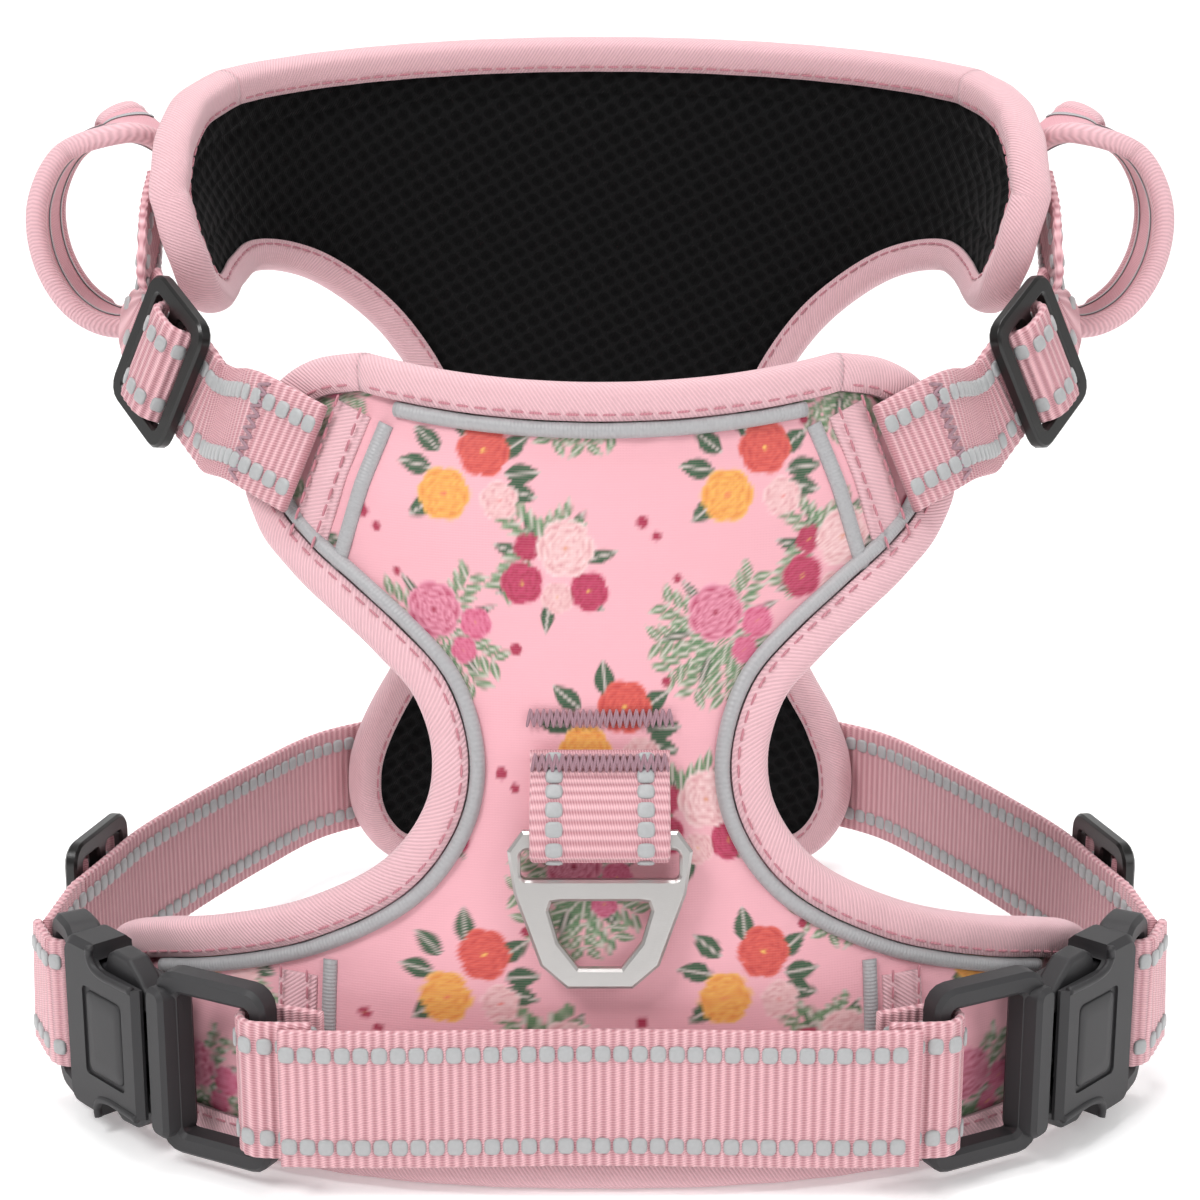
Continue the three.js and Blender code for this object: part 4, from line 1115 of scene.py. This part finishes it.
def socket_panel(side_name, side, material):
    """The panel with round corners inside a socket's recess."""
    width, height, radius = 11.0, 15.6, 1.6
    angles = np.radians(np.arange(0, 360, 15))
    x = np.sign(np.cos(angles + 0.01)) * (width / 2 - radius) + radius * np.cos(angles)
    z = np.sign(np.sin(angles + 0.01)) * (height / 2 - radius) + radius * np.sin(angles)
    domed = ((1.0, 3.7), (1.0, 4.1), (0.95, 4.32), (0.6, 4.36), (0.01, 4.38))
    points = [at_buckle(12.95 + px * scale, out) + (0, 0, pz * scale)
              for scale, out in domed for px, pz in zip(x, z)]
    make_piece(f"socket_panel_{side_name}", np.array(points) * (side, 1, 1),
               tube_faces(len(domed), len(angles)), f"socket_{side_name}", material)


def strap_tack(name, strap, reach, body, material):
    """A bar tack across a strap: slanting threads on its outer face."""
    count = 18
    row = np.linspace(-1, 1, count) * (strap.width / 2 - 1.6)
    lean = np.where(np.arange(count) % 2 == 0, 1, -1)
    reach = np.full(count, float(reach))
    along, across = strap.frames(reach)
    slant = unit(along + across * lean[:, None] * 0.32)
    sideways = unit(across - slant * np.sum(across * slant, axis=1, keepdims=True))
    outward = strap.read(strap.off, reach)[0, 0] * strap.points[0, 0]
    off = math.copysign(strap.thickness / 2 + 0.12, outward)
    places = strap.place(reach, row[:, None], off)
    studs(name, places, slant, sideways, (3.6, 0.6, 0.55), body, material)


def hump(place, along, outward, width, length, side):
    """Webbing turned over a slider's middle bar."""
    reach = length / 2 - 5.4
    across = unit(np.cross(outward, along))
    share = np.linspace(-1, 1, 9)
    places = [place + along * t * reach + outward * (3.1 - 3.6 * t**4) for t in share]
    return Strap([(p, across) for p in places], width, side=side, pitch=0.3)


def on_lobe(u, v, h):
    """A place on the chest plate's upper lobe, and the direction across a strap sewn there."""
    spread = chest_surface(u + 1.7, v - 5.0) - chest_surface(u - 1.7, v + 5.0)
    return chest_surface(u, v, h), unit(spread)


def build_neck_straps(materials):
    """The straps from the lobes over the shoulders, each through a slider."""
    slider = np.array(NECK_SLIDER)
    along = unit(np.array([0.526, 0.721, 0.448]))
    across = np.array([0.406, 0.249, -0.878])
    across = unit(across - along * across.dot(along))
    outward = unit(np.cross(across, along))
    outward = outward if outward[0] > 0 else -outward
    back_across = unit(np.array([0.05, 0.93, -0.35]))
    below = ((-17, 2.7), (-8, 2.75), (0, 2.85), (9, 3.1), (15, 3.8), (19.5, 5.0))
    stations = [on_lobe(49.0, 119.5, 4.8), on_lobe(60.0, 123.0, 5.4)]
    stations += [(slider + along * d - outward * h, across) for d, h in below]
    stations += [(back_surface(*place), back_across) for place in ((113.0, 149.0, 8.4), (102.0, 158.0, 6.6))]
    for side_name, side in SIDES:
        strap = Strap(stations, NECK_WEBBING, side=side)
        webbing_set(f"neck_strap_{side_name}", strap, "harness", materials)
        strap_tack(f"neck_tack_{side_name}", strap, 13, "harness", materials["thread"])
        body = f"neck_slider_{side_name}"
        refined(body, body, materials["glossy"], bevel=0.5)
        over = hump(slider, along, outward, NECK_WEBBING, 22, side)
        webbing_set(f"neck_slider_loop_{side_name}", over, body, materials)


def build_girth_link(side_name, strap, materials):
    """The strap between a girth slider and its socket, on no body, with its place baked into its points."""
    link = strap_piece(f"girth_link_{side_name}_webbing", strap, None, materials["webbing"], None)
    yarns = beads(f"girth_link_{side_name}_beads", strap, None, materials["beads"])
    for piece in (link, yarns):
        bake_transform(piece)


def build_girth_straps(materials):
    """The straps round the sides, each through a slider and on to a socket."""
    slider = np.array(GIRTH_SLIDER)
    along = unit(np.array([-0.24, 0.97, 0]))
    outward = unit(np.array([0.97, 0.24, 0]))

    def under(distances):
        return [slider + along * d - outward * 2.7 + (0, 0, -1) for d in distances]

    link = under((-13.2, -16)) + [socket_loop_places()[0] + (-2.7, -0.8, 0)]  # ends behind the webbing
    route = under((-13, 0, 14))
    for x, depth in ((85.5, 102), (74.5, 126), (63, 146.5), (47, 159.5)):
        route.append(np.array([x, FRONT_Y + depth, 22]))
    for side_name, side in SIDES:
        strap = Strap([(p, UPRIGHT) for p in route], WEBBING, side=side)
        webbing_set(f"girth_strap_{side_name}", strap, "harness", materials)
        build_girth_link(side_name, Strap([(p, UPRIGHT) for p in link], WEBBING, side=side), materials)
        body = f"girth_slider_{side_name}"
        refined(body, body, materials["glossy"], bevel=0.5)
        over = hump(slider, along, outward, WEBBING, 24, side)
        webbing_set(f"girth_slider_loop_{side_name}", over, body, materials)


def handle_stations():
    """Places and directions across of the right handle, from its upper end to its lower one."""
    def sewn(u, v, h):
        spread = back_surface(u - 5.0, v) - back_surface(u + 5.0, v)
        return back_surface(u, v, h), unit(spread)

    free = ((96.5, 114, 170), (105, 113, 166.5), (110, 112, 157), (109.5, 112, 146),
            (104.5, 112, 137), (97.5, 113, 133))
    arch = [(np.array([x, FRONT_Y + depth, z]), np.array([0, 1, 0])) for x, depth, z in free]
    return [sewn(88.0, 168.0, 12), *arch, sewn(94.0, 138.0, 12.5)]


def build_handles(materials):
    """Padded grab handles: a pink core, bound edges and two reflective strips."""
    for side_name, side in SIDES:
        body = f"handle_{side_name}"
        strap = Strap(handle_stations(), HANDLE_WIDTH, thickness=3.4, side=side)
        core = strap_piece(f"{body}_core", strap, body, materials["print_plain"], body, ribs=0.0)
        for label, edge in (("front", -1), ("rear", 1)):
            strip_piece(f"{body}_binding_{label}", strap, edge * 8.9, 4.2, 4.0, body,
                        materials["twill"])
            strip_piece(f"{body}_strip_{label}", strap, edge * 5.2, 2.2, 3.9, body,
                        materials["piping"])


# ------------------------------------------------------------------ the studio


def area_light(name, place, size, power):
    """A round soft lamp that is aimed at the harness's middle."""
    lamp = bpy.data.lights.new(name, "AREA")
    lamp.shape = "DISK"
    lamp.size = size
    lamp.energy = power
    light = bpy.data.objects.new(name, lamp)
    light.location = place
    light.rotation_euler = (Vector(LAMP_TARGET) - light.location).to_track_quat("-Z", "Y").to_euler()
    bpy.context.scene.collection.objects.link(light)


def build_studio():
    """A white sweep, soft lamps and the camera."""
    world = bpy.data.worlds.new("white studio")
    bpy.context.scene.world = world
    world.use_nodes = True
    world.node_tree.nodes["Background"].inputs["Color"].default_value = (1, 1, 1, 1)
    world.node_tree.nodes["Background"].inputs["Strength"].default_value = 0.5
    bend, radius = 0.9, 0.6  # where the sweep begins to curve up, in metres
    profile = [(-2.5, 0), (bend, 0)]
    for a in np.radians(np.arange(10, 91, 10)):
        profile.append((bend + radius * math.sin(a), radius - radius * math.cos(a)))
    profile.append((1.5, 3.0))
    points = [(x / MM, y / MM, z / MM - 0.1) for x in (-3, 3) for y, z in profile]
    floor = make_piece("floor", points, grid_faces(2, len(profile), flip=True), None, floor_material())
    area_light("key", (-0.6, -0.7, 1.1), 0.5, 9)
    area_light("fill", (0.9, -0.8, 0.7), 0.9, 4)
    area_light("top", (0, 0.15, 1.2), 0.6, 6)
    camera = bpy.data.cameras.new("camera")
    camera.lens = 75
    camera.sensor_width = 36
    view = bpy.data.objects.new("camera", camera)
    view.location = (0, -0.46734, 0.20885)
    view.rotation_euler = (math.radians(75), 0, 0)
    bpy.context.scene.collection.objects.link(view)
    bpy.context.scene.camera = view
    bpy.context.scene.view_settings.view_transform = "Standard"


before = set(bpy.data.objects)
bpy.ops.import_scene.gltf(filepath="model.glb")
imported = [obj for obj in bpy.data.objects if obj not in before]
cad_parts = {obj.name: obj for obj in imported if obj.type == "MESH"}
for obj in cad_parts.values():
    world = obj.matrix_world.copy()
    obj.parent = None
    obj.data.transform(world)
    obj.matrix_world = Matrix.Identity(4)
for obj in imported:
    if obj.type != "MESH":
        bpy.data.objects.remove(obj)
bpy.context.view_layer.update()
chest = Panel("chest", chest_surface, CHEST_SIDE, 300, 230)
back = Panel("back", back_surface, BACK_SIDE, 340, 230)
looks = {
    "print": print_material(),
    "print_plain": twill_material("handle cloth", PINK),
    "twill": twill_material("binding twill", TWILL),
    "webbing": webbing_material(),
    "mesh": mesh_material(),
    "piping": reflective_material("grey piping", PIPING_GREY),
    "beads": reflective_material("reflective yarn", BEAD_GREY, 0.8),
    "stitch": thread_material("binding stitches", STITCH_PINK),
    "thread": thread_material("bar tack thread", THREAD_MAUVE),
    "plastic": plastic_material("charcoal acetal", CHARCOAL, 0.48, 0.62),
    "glossy": plastic_material("glossy acetal", GLOSSY_BLACK, 0.24, 0.36, coat=0.05),
    "metal": metal_material(),
}
build_chest(looks)
clad(back, ("lower", "right", "top", "left"), looks)
build_band(looks)
build_leash_points(looks)
build_buckles(looks)
build_neck_straps(looks)
build_girth_straps(looks)
build_handles(looks)
build_studio()
